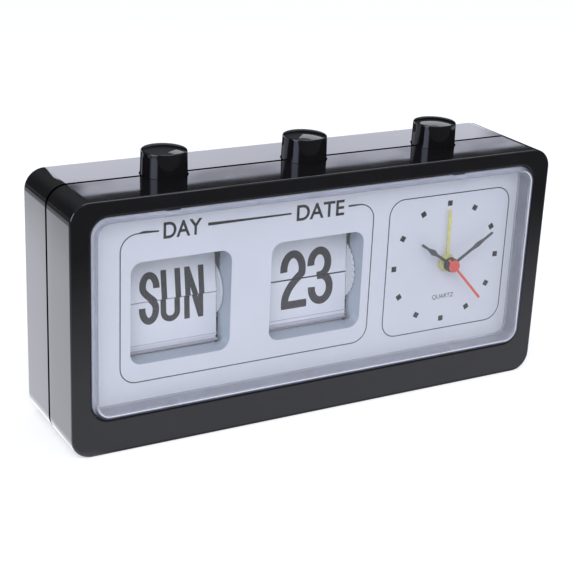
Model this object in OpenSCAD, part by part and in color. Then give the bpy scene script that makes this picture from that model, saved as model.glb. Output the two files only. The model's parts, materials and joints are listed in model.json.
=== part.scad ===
// Desk alarm clock with a flip day, a flip date and a quartz dial behind one clear lens.
// Millimetres. X runs along the width, Y from the front to the back, Z up.
// The modules draw with y = 0 on the front plane of the bezel, and placed() centres the part's box.

/* [Case] */
// Width of the case
case_w = 176; // [168:1:200]
// Height of the case
case_h = 83.1; // [80.5:0.1:95]
// Depth of the case, from the bezel plane to the back
case_d = 40; // [39.5:0.5:50]
// Wall of both shells
wall = 2.2; // [1.6:0.1:2.5]
// Thickness of the bezel
bezel_t = 3; // [2.4:0.1:4]
// Radius of the four outer corners
corner_r = 6.7; // [5:0.1:8]
// Rounding of the outer edges at the front and the back
edge_r = 0.8; // [0.5:0.1:3]
// Depth of the front shell, where the seam and the buttons are
seam_y = 20; // [19:0.5:22]
// Width of the groove along the seam
groove_w = 1.1; // [0.4:0.1:1.2]
// Depth of the groove along the seam
groove_d = 0.5; // [0.2:0.1:0.8]

/* [Lens] */
// Bezel below the lens
bezel_bottom = 12.3; // [11:0.1:14]
// Bezel above the lens
bezel_top = 5.5; // [5:0.1:8]
// Bezel at each side of the lens
bezel_side = 7; // [6:0.1:8]
// Corner radius of the opening
opening_r = 5.5; // [4:0.1:8]
// Rounding of the bezel's inner lip
lip_r = 1.2; // [0.4:0.1:1.6]
// Thickness of the clear plastic
lens_t = 1.5; // [1.2:0.1:1.8]
// How far the lens stands in front of the bezel
lens_proud = 1.2; // [0.8:0.1:1.4]
// Rounding of the lens's front edge
lens_edge_r = 0.5; // [0.4:0.1:1.2]
// Gap between the lens and the opening
lens_gap = 0.1; // [0.05:0.05:0.3]
// Left pair of lens hooks from the middle of the case
left_hook_x = -54.5; // [-65:0.5:-45]
// Right pair of lens hooks from the middle of the case
right_hook_x = 50.5; // [45:0.5:65]
// Width of a lens hook
hook_w = 4.4; // [3:0.2:6]

/* [Dial] */
// Depth of the dial plate's front behind the bezel plane
dial_y = 6.3; // [6:0.1:7]
// Thickness of the dial plate
dial_t = 1.5; // [1.2:0.1:2]
// Width of each window
window_w = 34.7; // [34:0.1:36]
// Height of each window
window_h = 34.3; // [32:0.1:36]
// Corner radius of each window
window_r = 4; // [2:0.1:6]
// Depth of the window rims, from the dial's front
rim_d = 4.6; // [2.5:0.1:4.8]
// Depth of the wall right of each drum, from the dial's front
side_d = 8.6; // [5:0.1:9.4]
// Depth of that wall's lower part
low_side_d = 9; // [5:0.1:9.4]
// Depth of the sill below each drum, from the dial's front
sill_d = 7; // [5:0.1:7.4]
// Wall of the window rims
rim_t = 1.2; // [0.8:0.1:1.4]
// Middle of the windows below the middle of the opening
window_drop = 1.8; // [0:0.1:3]
// Middle of the day window from the middle of the case
day_x = -49; // [-52:0.5:-46]
// Middle of the date window from the middle of the case
date_x = 0; // [-2:0.5:2]
// Middle of the clock dial from the middle of the case
clock_x = 51.3; // [50:0.1:54]
// Middle of the clock dial below the middle of the opening
clock_drop = 0.2; // [0:0.1:2]

/* [Flip leaves] */
// Width of a leaf
leaf_w = 32.4; // [28:0.2:32.4]
// Length of a leaf from its hinge to its tip
leaf_l = 14.2; // [12:0.1:14.4]
// Thickness of a leaf
leaf_t = 0.15; // [0.1:0.01:0.2]
// Half height of a leaf's hinge tabs
pin_r = 0.35; // [0.25:0.05:0.4]
// Radius of the ring of hinge holes on a drum
hinge_r = 6.3; // [5.8:0.1:6.6]
// Hinge holes in the day drum, four weeks of days
day_notches = 28; // [21:7:28]
// Hinge holes in the date drum
date_notches = 31; // [31:1:31]
// Backward lean of the standing day leaf, in degrees
day_lean = 8.5; // [3:0.5:12]
// Backward lean of the standing date leaf, in degrees
date_lean = 3.5; // [2:0.5:12]
// Forward lean of the leaves that hang in front, in degrees
hang_lean = 4; // [0:0.5:6]
// Gap along the split of the day leaves
day_split = 0.12; // [0.1:0.02:0.6]
// Gap along the split of the date leaves
date_split = 0.4; // [0.1:0.02:0.6]
// Gap between a falling leaf's tip and the lens
swing_gap = 0.4; // [0.3:0.1:1]
// Gap between the leaves' tips and the back wall
back_gap = 0.3; // [0.2:0.1:1]

/* [Drums] */
// Radius of a drum's hub
hub_r = 2.6; // [2.2:0.1:3]
// Radius of the steel axles
axle_r = 1.2; // [0.8:0.1:1.4]
// Radius of the small flange
small_flange_r = 8; // [7.4:0.1:10]
// Radius of the day drum's large flange, which shows in the window
day_flange_r = 9.6; // [8.6:0.1:11]
// Radius of the date drum's large flange, which shows in the window
date_flange_r = 11; // [10:0.1:12.6]
// Thickness of the flanges
flange_t = 0.6; // [0.5:0.1:0.8]
// Thickness of the ratchet wheels
ratchet_t = 1.5; // [1:0.1:1.6]
// Depth of the ratchet teeth
ratchet_tooth = 1; // [0.8:0.1:1.2]
// Thickness of the cheeks of the flip frame
cheek_t = 1.3; // [1:0.1:2]

/* [Buttons] */
// Travel of the buttons
travel = 2.5; // [2:0.1:2.6]
// Height of a cap above the case
cap_h = 8.8; // [5:0.1:10]
// Radius of a cap where it meets the case
cap_base_r = 7.5; // [7:0.1:8.5]
// Radius of a cap at its top
cap_top_r = 7.3; // [6:0.1:8]
// Rounding of a cap's top edge
cap_edge_r = 0.5; // [0.3:0.1:2]
// Rise of a cap's domed top
cap_dome = 0.9; // [0.2:0.1:1]
// Day button from the middle of the case
day_button_x = -49.2; // [-52:0.2:-46]
// Date button from the middle of the case
date_button_x = 1; // [-2:0.2:3]
// Alarm button from the middle of the case
alarm_button_x = 52.2; // [50:0.2:54]
// Radius of the stems
stem_r = 2.2; // [1.8:0.1:2.6]
// Length of the return springs at rest
spring_l = 6.8; // [6:0.1:8]
// Radius of the return springs, to the middle of the wire
spring_r = 4.2; // [3.6:0.1:5]
// Wire radius of the springs
wire_r = 0.3; // [0.2:0.05:0.4]
// Turns of a return spring
spring_turns = 4; // [3:1:4]

/* [Movement] */
// Side of the square movement
movement_w = 44; // [42:0.5:44]
// Depth of the movement
movement_d = 15.2; // [15:0.1:17]
// Wall of the movement's housing
movement_wall = 1.5; // [1.2:0.1:1.6]
// Radius of the seconds shaft
second_shaft_r = 0.45; // [0.4:0.05:0.6]
// Wall of each pipe around the shaft
pipe_t = 0.45; // [0.4:0.05:0.5]
// Radial running clearance of shafts and pipes
running = 0.05; // [0.02:0.01:0.08]
// Radius of the setting arbors
arbor_r = 0.8; // [0.6:0.05:1]
// Radius of the setting knobs
knob_r = 6.4; // [5:0.1:6.8]
// Depth of the knobs' wells in the back
well_d = 6.6; // [5:0.1:8]

/* [Hands] */
// Hour shown
shown_hour = 10; // [0:1:11]
// Minute shown
shown_minute = 9.75; // [0:0.25:60]
// Second shown
shown_second = 23; // [0:1:59]
// Alarm hour shown
shown_alarm = 11.97; // [0:0.01:12]
// Length of the hour hand
hour_l = 15; // [10:0.1:17]
// Length of the minute hand
minute_l = 19; // [15:0.1:20]
// Length of the second hand
second_l = 17.7; // [15:0.1:20]
// Length of the alarm hand
alarm_l = 19; // [12:0.1:20]
// Thickness of the hands
hand_t = 0.3; // [0.2:0.05:0.4]

/* [Battery] */
// Radius of an AA cell
cell_r = 7.1; // [7:0.05:7.25]
// Length of an AA cell without its button
cell_l = 49.2; // [48:0.1:50]
// Middle of the battery box from the middle of the case
battery_x = -5; // [-12:0.5:-3]
// Length of the battery box inside
box_l = 58.5; // [57.5:0.1:62]
// Height of the battery box's floor above the table
box_z = 5; // [4.6:0.1:5.5]
// Thickness of the battery door
door_t = 1.2; // [1:0.1:1.6]

/* [Hidden] */
$fn = 64;
touch = 0.02;
eps = 0.01;

// Colours
case_black = [0.07, 0.07, 0.08];
clear_plastic = [0.85, 0.9, 0.95, 0.35];
dial_white = [0.9, 0.9, 0.93];
frame_grey = [0.62, 0.68, 0.75];
drum_white = [0.8, 0.83, 0.86];
leaf_white = [0.93, 0.93, 0.95];
steel = [0.7, 0.7, 0.72];
brass = [0.8, 0.65, 0.3];
print_grey = [0.25, 0.25, 0.27];
hand_red = [0.85, 0.3, 0.26];
hand_yellow = [0.85, 0.8, 0.3];

// The part's box runs from the lens's front to the back of the case
centre_y = -(case_d - lens_proud) / 2;

// Opening and dial
opening_w = case_w - 2 * bezel_side;
opening_h = case_h - bezel_bottom - bezel_top;
opening_z = bezel_bottom + opening_h / 2;
sleeve_t = 1.4;
plate_edge = 2;
dial_back = dial_y + dial_t;
window_z = opening_z - window_drop;
lens_inside = lens_t - lens_proud;
hook_in = 1;
hook_y = 0.8;
hook_d = 1.6;
hook_gap = 0.2;

// Flip units: index 0 is the day, 1 is the date
DAY = 0;
DATE = 1;
unit_x = [day_x, date_x];
notches = [day_notches, date_notches];
lean = [day_lean, date_lean];
split = [day_split, date_split];
flange_r = [day_flange_r, date_flange_r];
button_x = [day_button_x, date_button_x, alarm_button_x];
pivot_y = lens_inside + swing_gap + leaf_l;
axis_y = pivot_y + hinge_r;
axis_z = window_z;
function step(u) = 360 / notches[u];
function first_angle(u) = step(u) / 2;
function tail(u) = hinge_r * sin(first_angle(u)) - split[u] / 2 - leaf_t / 2;
// A leaf lies along the drum, folded further where it points back if the room behind the axis needs it
back_room = case_d - wall - back_gap - axis_y;
fold_cos = (back_room * back_room - hinge_r * hinge_r - leaf_l * leaf_l) / (2 * hinge_r * leaf_l);
back_fold = acos(max(-1, min(1, fold_cos)));
fold_start = 120;
fold_end = 150;
waiting_limit = 258;
function free_fold(u) = 90 + lean[u] - first_angle(u);
function turned_back(u, k) =
    max(0, min(1, (k * step(u) + 90 + lean[u] - fold_start) / (fold_end - fold_start)));
function extra_fold(u, k) = max(0, back_fold - free_fold(u)) * turned_back(u, k);
// Angle of a leaf from the forward direction, up to where it hangs behind the drum, straight down or in front
function leaf_angle(u, k) = k > 0.75 * notches[u] ? 270 + hang_lean
    : k > notches[u] / 2 ? 270
    : min(k * step(u) + 90 + lean[u] + extra_fold(u, k), waiting_limit);
function ratchet_r(u) = travel / (step(u) * PI / 180);

// Places along a drum, from the middle of its window
side_gap = 0.3;
leaf_gap = 0.2;
flange_gap = 0.35;
leaf_span = min(leaf_w, window_w - 2 * (leaf_gap + flange_t + flange_gap));
flange_x = leaf_span / 2 + leaf_gap;
tab_reach = flange_x + 0.8 * flange_t;
rim_out = window_w / 2 + rim_t;
side_step_z = window_z - 0.42 * window_h / 2;
ratchet_x = rim_out + side_gap + 0.2;
right_cheek_x = ratchet_x + ratchet_t + 0.5;
left_cheek_x = -rim_out - side_gap - cheek_t;
hub_left = left_cheek_x + cheek_t + side_gap;
hub_right = right_cheek_x - 0.2;

// Heights of the button train
button_y = seam_y;
hole_gap = 0.3;
button_flange_r = 9.6;
button_flange_t = 1;
flange_top = case_h - wall - 0.1;
flange_bottom = flange_top - button_flange_t;
rail_top = flange_bottom - spring_l;
rail_t = 2;
rail_bottom = rail_top - rail_t;
rail_over = 11;
rail_half_d = 6;
stem_gap = 0.12;
sweep_r = sqrt(hinge_r * hinge_r + leaf_l * leaf_l) + 0.5;
arm_t = 2;
arm_z = axis_z + sweep_r + 1.2 + travel;
peg_r = 1.3;
pawl_w = 1.1;
blade_t = 0.6;
blade_gap = 0.2;
nose_gap = 0.15;
nose_h = 0.8;
nose_in = 0.5;

// Flip frame
frame_d = 4;
frame_rail_h = 2.5;
rail_gap = 1.2;
rail_below = 4;
cheek_boss_r = 4;
pad_r = 3.4;
top_rail_z = arm_z + arm_t + rail_gap + pad_r - frame_rail_h / 2;
bottom_rail_z = window_z - window_h / 2 - rail_below;
pad_x = [day_x + left_cheek_x + cheek_t / 2, date_x + right_cheek_x + cheek_t / 2];
frame_boss_r = 1.9;
frame_pads = [for (x = pad_x, z = [bottom_rail_z, top_rail_z]) [x, z + frame_rail_h / 2]];

// Case screws
boss_r = 3;
boss_in = 7;
boss_z = [wall + 4.4, case_h - wall - 4.8];
boss_x = case_w / 2 - boss_in;
screw_r = 1.5;
screw_head_r = 2.7;
screw_head_t = 1.8;
post_r = 3.8;
post_y = case_d - 8;
tongue_t = 1;
tongue_d = 1.5;
tongue_gap = 0.1;

// Movement layers, front to back
movement_back = dial_back + movement_d;
movement_mid = dial_back + 5.2;
inside_front = dial_back + movement_wall;
inside_back = movement_back - movement_wall;
layer_t = 0.9;
layer_step = 1.3;
alarm_layer = inside_front + 0.3;
hour_layer = alarm_layer + layer_step;
minute_layer = hour_layer + layer_step;
bridge_y = minute_layer + layer_t + 0.3;
bridge_t = 0.8;
second_layer = bridge_y + bridge_t + 0.3;
drive_layer = second_layer + layer_step;
board_t = 1;
board_hole_r = 1.6;
board_post_l = 0.5;
board_post_r = 1.5;
board_post_in = 4;
board_y = inside_back - board_post_l - board_t;
pivot_in = 0.9;
bridge_pin_r = 0.8;
bridge_edge = 3.5;
bridge_side = movement_w - 2 * movement_wall - 1;
bridge_posts = [for (x = [-1, 1], z = [-1, 1]) [x, z] * (movement_w / 2 - bridge_edge)];
minute_pipe_r = second_shaft_r + running + pipe_t;
hour_pipe_r = minute_pipe_r + running + pipe_t;
alarm_pipe_r = hour_pipe_r + running + pipe_t;
bush_r = alarm_pipe_r + running + 0.6;
bush_gap = 0.1;

// Hands in front of the dial
alarm_hand_out = 0.85;
hour_hand_out = 2.75;
minute_hand_out = 3.95;
second_hand_out = 5.35;
alarm_hand_y = dial_y - alarm_hand_out;
hour_hand_y = dial_y - hour_hand_out;
minute_hand_y = dial_y - minute_hand_out;
second_hand_y = dial_y - second_hand_out;
minute_angle = shown_minute * 6;
hour_angle = shown_hour * 30 + shown_minute / 2;
second_angle = shown_second * 6;
alarm_angle = shown_alarm * 30;

// Gears: tooth counts, and places from the middle of the clock dial
motion_module = 0.5;
hour_module = 0.4;
train_module = 0.25;
cannon_teeth = 12;
idler_teeth = 36;
idler_pinion = 12;
hour_teeth = 48;
alarm_teeth = 48;
alarm_pinion = 12;
second_teeth = 50;
drive_pinion = 10;
drive_teeth = 48;
rotor_teeth = 8;
set_distance = motion_module * (cannon_teeth + idler_teeth) / 2;
time_angle = 225;
alarm_set_angle = 315;
time_at = set_distance * [cos(time_angle), sin(time_angle)];
alarm_at = set_distance * [cos(alarm_set_angle), sin(alarm_set_angle)];
drive_angle = 90;
drive_distance = train_module * (second_teeth + drive_pinion) / 2;
drive_at = drive_distance * [cos(drive_angle), sin(drive_angle)];
rotor_angle = 45;
rotor_distance = train_module * (drive_teeth + rotor_teeth) / 2;
rotor_at = drive_at + rotor_distance * [cos(rotor_angle), sin(rotor_angle)];
ear_r = 3;
ear_z = movement_w / 2 + ear_r;
small_screw_r = 1;
small_head_r = 2;
small_head_t = 1.2;
train_shaft_r = 0.5;
magnet_r = 2.5;
rotor_gap = 0.4;

// The movement stays far enough below the button rail for the alarm contact and the button's travel
contact_t = 0.3;
contact_gap = 0.1;
contact_foot = 1;
stem_below = 0.35;
contact_room = contact_foot + contact_t + contact_gap + travel + stem_below;
clock_z = min(opening_z - clock_drop, rail_bottom - contact_room - movement_w / 2);
movement_top = clock_z + movement_w / 2;
contact_z = movement_top + contact_foot;
alarm_stem_z = contact_z + contact_t + contact_gap + travel;

// Rear wells, buzzer and battery box
well_floor = case_d - well_d;
well_r = knob_r + 1.6;
cup_t = 1.2;
buzzer_r = 9;
buzzer_t = 1.4;
buzzer_at = [clock_x, clock_z + 17];
sound_hole_r = 0.9;
sound_ring_r = 5;
box_wall = 1.3;
cell_gap = 0.3;
box_h = 2 * cell_r + 2 * cell_gap;
box_back = case_d - door_t;
cell_y = box_back - cell_gap - cell_r;
cell_z = box_z + cell_gap + cell_r;
box_front = cell_y - cell_r - cell_gap;
box_x0 = battery_x - box_l / 2;
box_x1 = battery_x + box_l / 2;
contact_plate_t = 0.5;
contact_plate_w = 10;
cell_spring_r = 4.5;
cell_spring_turns = 4;
cell_button_l = 1.3;
cell_button_r = 2.7;
cell_x0 = box_x1 - contact_plate_t - cell_button_l - cell_l;
door_edge = 1.4;
door_gap = 0.15;
tab_w = 4;
tab_up = 1.6;
lead_r = 0.5;

// The part's box centred on the origin
module placed() {
    translate([0, centre_y, 0]) children();
}

// Rounded rectangle centred on the first axis, standing on the second
module rounded_rect(w, h, r) {
    translate([r - w / 2, 0]) square([w - 2 * r, h]);
    translate([-w / 2, r]) square([w, h - 2 * r]);
    for (x = [-1, 1], z = [r, h - r]) translate([x * (w / 2 - r), z]) circle(r);
}

// Flat outline standing in the XZ plane, from y0 to y1
module upright(y0, y1) {
    translate([0, y1, 0]) rotate([90, 0, 0]) linear_extrude(y1 - y0) children();
}

// Round rod along Y, from y0 to y1
module rod_y(x, z, r, y0, y1) {
    translate([x, y0, z]) rotate([-90, 0, 0]) cylinder(r = r, h = y1 - y0);
}

// Round rod along X at the axis of the drums
module rod_x(x0, x1, r) {
    translate([x0, axis_y, axis_z]) rotate([0, 90, 0]) cylinder(r = r, h = x1 - x0);
}

// Box from its two corners
module block(a, b) {
    translate(a) cube(b - a);
}

// Section of a slab of width w and depth d with its two front edges rounded by e
module soft_section(w, d, e) {
    translate([-w / 2, e]) square([w, d - e]);
    translate([e - w / 2, 0]) square([w - 2 * e, e]);
    for (x = [-1, 1]) translate([x * (w / 2 - e), e]) circle(e);
}

// The same section from a corner's axis outwards, with its front up
module soft_corner(r, d, e) {
    square([r, d - e]);
    square([r - e, d]);
    translate([r - e, d - e]) intersection() {
        circle(e);
        square([e, e]);
    }
}

// Slab standing in the XZ plane with its front edge rounded by e
module front_soft_slab(w, h, r, e, y0, y1) {
    d = y1 - y0;
    translate([0, y0, r]) linear_extrude(h - 2 * r) soft_section(w, d, e);
    translate([r - w / 2, y0, h / 2]) rotate([90, 0, 90]) linear_extrude(w - 2 * r)
        mirror([1, -1]) soft_section(h, d, e);
    for (x = [-1, 1], z = [r, h - r])
        translate([x * (w / 2 - r), y1, z]) rotate([90, 0, 0]) rotate_extrude() soft_corner(r, d, e);
}

// The same slab with its back edge rounded
module back_soft_slab(w, h, r, e, y0, y1) {
    translate([0, y0 + y1, 0]) mirror([0, 1, 0]) front_soft_slab(w, h, r, e, y0, y1);
}

// Outline of the opening, grown by g
module opening_outline(g) {
    translate([0, bezel_bottom - g]) rounded_rect(opening_w + 2 * g, opening_h + 2 * g, opening_r + g);
}

// Room inside both shells
module inside_outline(g) {
    translate([0, wall + g])
        rounded_rect(case_w - 2 * wall - 2 * g, case_h - 2 * wall - 2 * g, max(corner_r - wall - g, 1));
}

// Groove along the seam
module seam_groove() {
    difference() {
        upright(seam_y - groove_w / 2, seam_y + groove_w / 2) translate([0, -1])
            rounded_rect(case_w + 2, case_h + 2, corner_r);
        upright(seam_y - groove_w, seam_y + groove_w) translate([0, groove_d])
            rounded_rect(case_w - 2 * groove_d, case_h - 2 * groove_d, corner_r - groove_d);
    }
}

// Holes of the three buttons through the top, with room for their flanges below
module button_holes() {
    for (x = button_x) {
        translate([x, button_y, case_h - wall - eps]) cylinder(r = cap_base_r + hole_gap, h = wall + 1);
        translate([x, button_y, flange_bottom - travel - 0.5])
            cylinder(r = button_flange_r + hole_gap, h = case_h - wall - flange_bottom + travel + 0.5);
    }
}

// Section of the opening of width w, flared at the front by the rounded lip
module flared_section(w) {
    translate([-w / 2, -1]) square([w, dial_y + 2]);
    difference() {
        translate([-w / 2 - lip_r, -1]) square([w + 2 * lip_r, lip_r + 1]);
        for (x = [-1, 1]) translate([x * (w / 2 + lip_r), lip_r]) circle(lip_r);
    }
}

// The same section from a corner's axis outwards
module flared_corner() {
    translate([0, -1]) square([opening_r, dial_y + 2]);
    difference() {
        translate([0, -1]) square([opening_r + lip_r, lip_r + 1]);
        translate([opening_r + lip_r, lip_r]) circle(lip_r);
    }
}

// What the opening takes out of the front shell
module opening_plug() {
    translate([0, 0, bezel_bottom + opening_r]) linear_extrude(opening_h - 2 * opening_r)
        flared_section(opening_w);
    translate([opening_r - opening_w / 2, 0, opening_z]) rotate([90, 0, 90])
        linear_extrude(opening_w - 2 * opening_r) mirror([1, -1]) flared_section(opening_h);
    for (x = [-1, 1], z = [-1, 1])
        translate([x * (opening_w / 2 - opening_r), 0, opening_z + z * (opening_h / 2 - opening_r)])
            rotate([-90, 0, 0]) rotate_extrude() flared_corner();
}

// Hooks on the bezel that hold the lens
module lens_hooks(grow) {
    for (x = [left_hook_x, right_hook_x], up = [false, true]) {
        edge = up ? bezel_bottom + opening_h : bezel_bottom;
        z0 = up ? edge - hook_in - grow : edge - wall * 0.4;
        z1 = up ? edge + wall * 0.4 : edge + hook_in + grow;
        block([x - hook_w / 2 - grow, hook_y - grow, z0], [x + hook_w / 2 + grow, hook_y + hook_d + grow, z1]);
    }
}

// Clips on the shell's walls that trap the dial plate against its seat
module dial_clips() {
    clip_w = 6;
    clip_d = 1.4;
    clip_over = 0.8;
    y0 = dial_back + touch;
    side = opening_w / 2 + plate_edge - clip_over;
    low = bezel_bottom - plate_edge + clip_over;
    high = bezel_bottom + opening_h + plate_edge - clip_over;
    for (s = [-1, 1], z = [0.35, 0.65]) {
        x0 = s > 0 ? side : -case_w / 2 + wall / 2;
        x1 = x0 + case_w / 2 - wall / 2 - side;
        block([x0, y0, z * case_h - clip_w / 2], [x1, y0 + clip_d, z * case_h + clip_w / 2]);
    }
    for (x = [-day_x + 15, day_x + 18]) {
        block([x - clip_w / 2, y0, wall / 2], [x + clip_w / 2, y0 + clip_d, low]);
        block([x - clip_w / 2, y0, high], [x + clip_w / 2, y0 + clip_d, case_h - wall / 2]);
    }
}

module front_shell() {
    color(case_black) {
        difference() {
            union() {
                difference() {
                    front_soft_slab(case_w, case_h, corner_r, edge_r, 0, seam_y);
                    upright(bezel_t, seam_y + 1) inside_outline(0);
                }
                // Sleeve around the lens, which seats the dial plate
                upright(bezel_t - eps, dial_y) opening_outline(sleeve_t);
                dial_clips();
                // Screw bosses with a web to the side wall
                for (x = [-1, 1], i = [0, 1]) {
                    y0 = i == 0 ? bezel_t - eps : dial_back + 0.6;
                    web = boss_in - wall / 2;
                    rod_y(x * boss_x, boss_z[i], boss_r, y0, seam_y);
                    block([min(x * boss_x, x * (boss_x + web)), y0, boss_z[i] - 1],
                        [max(x * boss_x, x * (boss_x + web)), seam_y - tongue_d - 0.3, boss_z[i] + 1]);
                }
            }
            opening_plug();
            for (x = [-1, 1], z = boss_z) rod_y(x * boss_x, z, screw_r + touch, seam_y - 9, seam_y + 1);
            button_holes();
            seam_groove();
        }
        lens_hooks(0);
    }
}

// Well for a setting knob, with a bearing hole in its floor
module well_cup(at) {
    rod_y(clock_x + at[0], clock_z + at[1], well_r + cup_t, well_floor - cup_t, case_d - wall + eps);
}

module well_cut(at) {
    rod_y(clock_x + at[0], clock_z + at[1], well_r, well_floor, case_d + 1);
    rod_y(clock_x + at[0], clock_z + at[1], arbor_r + running, well_floor - 2 * cup_t, case_d);
}

// Ledges that carry the button rail
rail_ledge_x = [(day_button_x + date_button_x) / 2, (date_button_x + alarm_button_x) / 2];
rail_ledge_w = 7;
rail_ledge_h = 2.5;
rail_reach = 12;
rail_screw_in = 3;
rail_back = button_y + rail_reach;
rail_screw_y = rail_back - rail_screw_in;

module rear_shell() {
    color(case_black) difference() {
        union() {
            difference() {
                back_soft_slab(case_w, case_h, corner_r, edge_r, seam_y, case_d);
                upright(seam_y - 1, case_d - wall) inside_outline(0);
            }
            // Tongue that enters the front shell
            difference() {
                upright(seam_y - tongue_d, seam_y + 2) inside_outline(tongue_gap);
                upright(seam_y - tongue_d - 1, seam_y + 3) inside_outline(tongue_gap + tongue_t);
            }
            difference() {
                upright(seam_y + touch, seam_y + 2) inside_outline(-eps);
                upright(seam_y - 1, seam_y + 3) inside_outline(tongue_gap + tongue_t);
            }
            for (x = [-1, 1], z = boss_z) rod_y(x * boss_x, z, post_r, seam_y + touch, case_d - edge_r);
            well_cup(time_at);
            well_cup(alarm_at);
            // Battery box
            block([box_x0 - box_wall, box_front - box_wall, wall / 2],
                [box_x1 + box_wall, case_d - wall / 2, box_z + box_h + box_wall]);
            for (x = rail_ledge_x)
                block([x - rail_ledge_w / 2, rail_screw_y - rail_screw_in, rail_bottom - rail_ledge_h],
                    [x + rail_ledge_w / 2, case_d - wall / 2, rail_bottom]);
        }
        for (x = [-1, 1], z = boss_z) {
            rod_y(x * boss_x, z, screw_head_r + 0.2, post_y, case_d + 1);
            rod_y(x * boss_x, z, screw_r + 0.1, seam_y - 1, case_d);
        }
        well_cut(time_at);
        well_cut(alarm_at);
        // Battery box, its mouth, and the seat of the door
        block([box_x0, box_front, box_z], [box_x1, case_d + 1, box_z + box_h]);
        block([box_x0 - door_edge, case_d - door_t, box_z - door_edge],
            [box_x1 + door_edge, case_d + 1, box_z + box_h + door_edge]);
        for (x = [box_x0, box_x1 - contact_plate_t])
            block([x - 0.2, cell_y - tab_w / 2 - 0.3, box_z + box_h - 1],
                [x + contact_plate_t + 0.2, cell_y + tab_w / 2 + 0.3, box_z + box_h + box_wall + 1]);
        for (x = rail_ledge_x) translate([x, rail_screw_y, rail_bottom - rail_ledge_h - 1])
            cylinder(r = small_screw_r + touch, h = rail_ledge_h + 2);
        // Sound holes behind the buzzer
        rod_y(buzzer_at[0], buzzer_at[1], sound_hole_r, case_d - 2 * wall, case_d + 1);
        for (a = [0 : 60 : 300])
            rod_y(buzzer_at[0] + sound_ring_r * cos(a), buzzer_at[1] + sound_ring_r * sin(a), sound_hole_r,
                case_d - 2 * wall, case_d + 1);
        button_holes();
        seam_groove();
    }
}

// Screw along Y with a cross slot in its head, which faces the back
module screw_y(x, z, shank_r, head_r, head_t, y_tip, y_head) {
    difference() {
        union() {
            rod_y(x, z, shank_r, y_tip, y_head + eps);
            rod_y(x, z, head_r, y_head, y_head + head_t);
        }
        for (a = [0, 90])
            translate([x, y_head + head_t, z]) rotate([0, a, 0])
                cube([1.3 * head_r, head_t, 0.35 * shank_r], center = true);
    }
}

module case_screws() {
    color(steel) for (x = [-1, 1], z = boss_z)
        screw_y(x * boss_x, z, screw_r, screw_head_r, screw_head_t, seam_y - 8.5, post_y);
}

module lens() {
    w = opening_w - 2 * lens_gap;
    h = opening_h - 2 * lens_gap;
    r = opening_r - lens_gap;
    back = dial_y - touch;
    color(clear_plastic) difference() {
        translate([0, 0, bezel_bottom + lens_gap]) front_soft_slab(w, h, r, lens_edge_r, -lens_proud, back);
        upright(lens_inside, back + 1) translate([0, bezel_bottom + lens_gap + lens_t])
            rounded_rect(w - 2 * lens_t, h - 2 * lens_t, r - lens_t);
        lens_hooks(hook_gap);
    }
}

// Outline of a window, grown by g
module window_outline(u, g) {
    translate([unit_x[u], window_z - window_h / 2 - g])
        rounded_rect(window_w + 2 * g, window_h + 2 * g, window_r + g);
}

// Wall beside a drum, between two heights, that goes on from the window's rim
module side_wall(u, z0, z1, d) {
    block([unit_x[u] + window_w / 2 - eps, dial_y + touch, z0], [unit_x[u] + rim_out, dial_y + d, z1]);
}

// Straight sill below a drum, at the height of the window's lower edge
module sill(u) {
    z = window_z - window_h / 2;
    block([unit_x[u] - rim_out + window_r, dial_y + touch, z - rim_t], [unit_x[u] + rim_out, dial_y + sill_d, z]);
}

module dial_plate() {
    color(dial_white) difference() {
        union() {
            upright(dial_y + touch, dial_back) opening_outline(plate_edge);
            for (u = [DAY, DATE]) {
                upright(dial_y + touch, dial_y + rim_d) window_outline(u, rim_t);
                side_wall(u, window_z - window_h / 2 - rim_t, side_step_z, low_side_d);
                side_wall(u, side_step_z - eps, window_z + window_h / 2 + rim_t, side_d);
                sill(u);
            }
            for (p = frame_pads) rod_y(p[0], p[1], frame_boss_r, dial_back - eps, dial_back + frame_d - 0.1);
        }
        for (u = [DAY, DATE]) upright(dial_y - 1, dial_y + low_side_d + side_d) window_outline(u, 0);
        rod_y(clock_x, clock_z, bush_r + bush_gap, dial_y - 1, dial_back + 1);
        for (p = frame_pads) rod_y(p[0], p[1], small_screw_r + touch, dial_back - 0.5, dial_back + frame_d);
        for (s = [-1, 1])
            rod_y(clock_x, clock_z + s * ear_z, small_screw_r + touch, dial_back - 0.7 * dial_t, dial_back + 1);
    }
}

// Two cheeks that carry a drum's axle
module cheek(x, t) {
    y0 = dial_back + touch;
    block([x, y0, bottom_rail_z], [x + t, dial_back + frame_d, top_rail_z + frame_rail_h]);
    block([x, y0, axis_z - cheek_boss_r], [x + t, axis_y, axis_z + cheek_boss_r]);
    rod_x(x, x + t, cheek_boss_r);
}

module flip_frame() {
    y0 = dial_back + touch;
    y1 = dial_back + frame_d;
    color(frame_grey) difference() {
        union() {
            for (z = [bottom_rail_z, top_rail_z]) block([pad_x[0], y0, z], [pad_x[1], y1, z + frame_rail_h]);
            for (p = frame_pads) rod_y(p[0], p[1], pad_r, y0, y1);
            for (u = [DAY, DATE]) {
                cheek(unit_x[u] + left_cheek_x, cheek_t);
                cheek(unit_x[u] + right_cheek_x, cheek_t);
            }
        }
        for (p = frame_pads) rod_y(p[0], p[1], frame_boss_r + 0.1, y0 - 1, y1 + 1);
        rod_x(day_x + left_cheek_x - 1, date_x + right_cheek_x + cheek_t + 1, axle_r + touch);
    }
}

module frame_screws() {
    color(steel) for (p = frame_pads)
        screw_y(p[0], p[1], small_screw_r, pad_r - 0.5, small_head_t, dial_back - 0.4, dial_back + frame_d);
}

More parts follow.
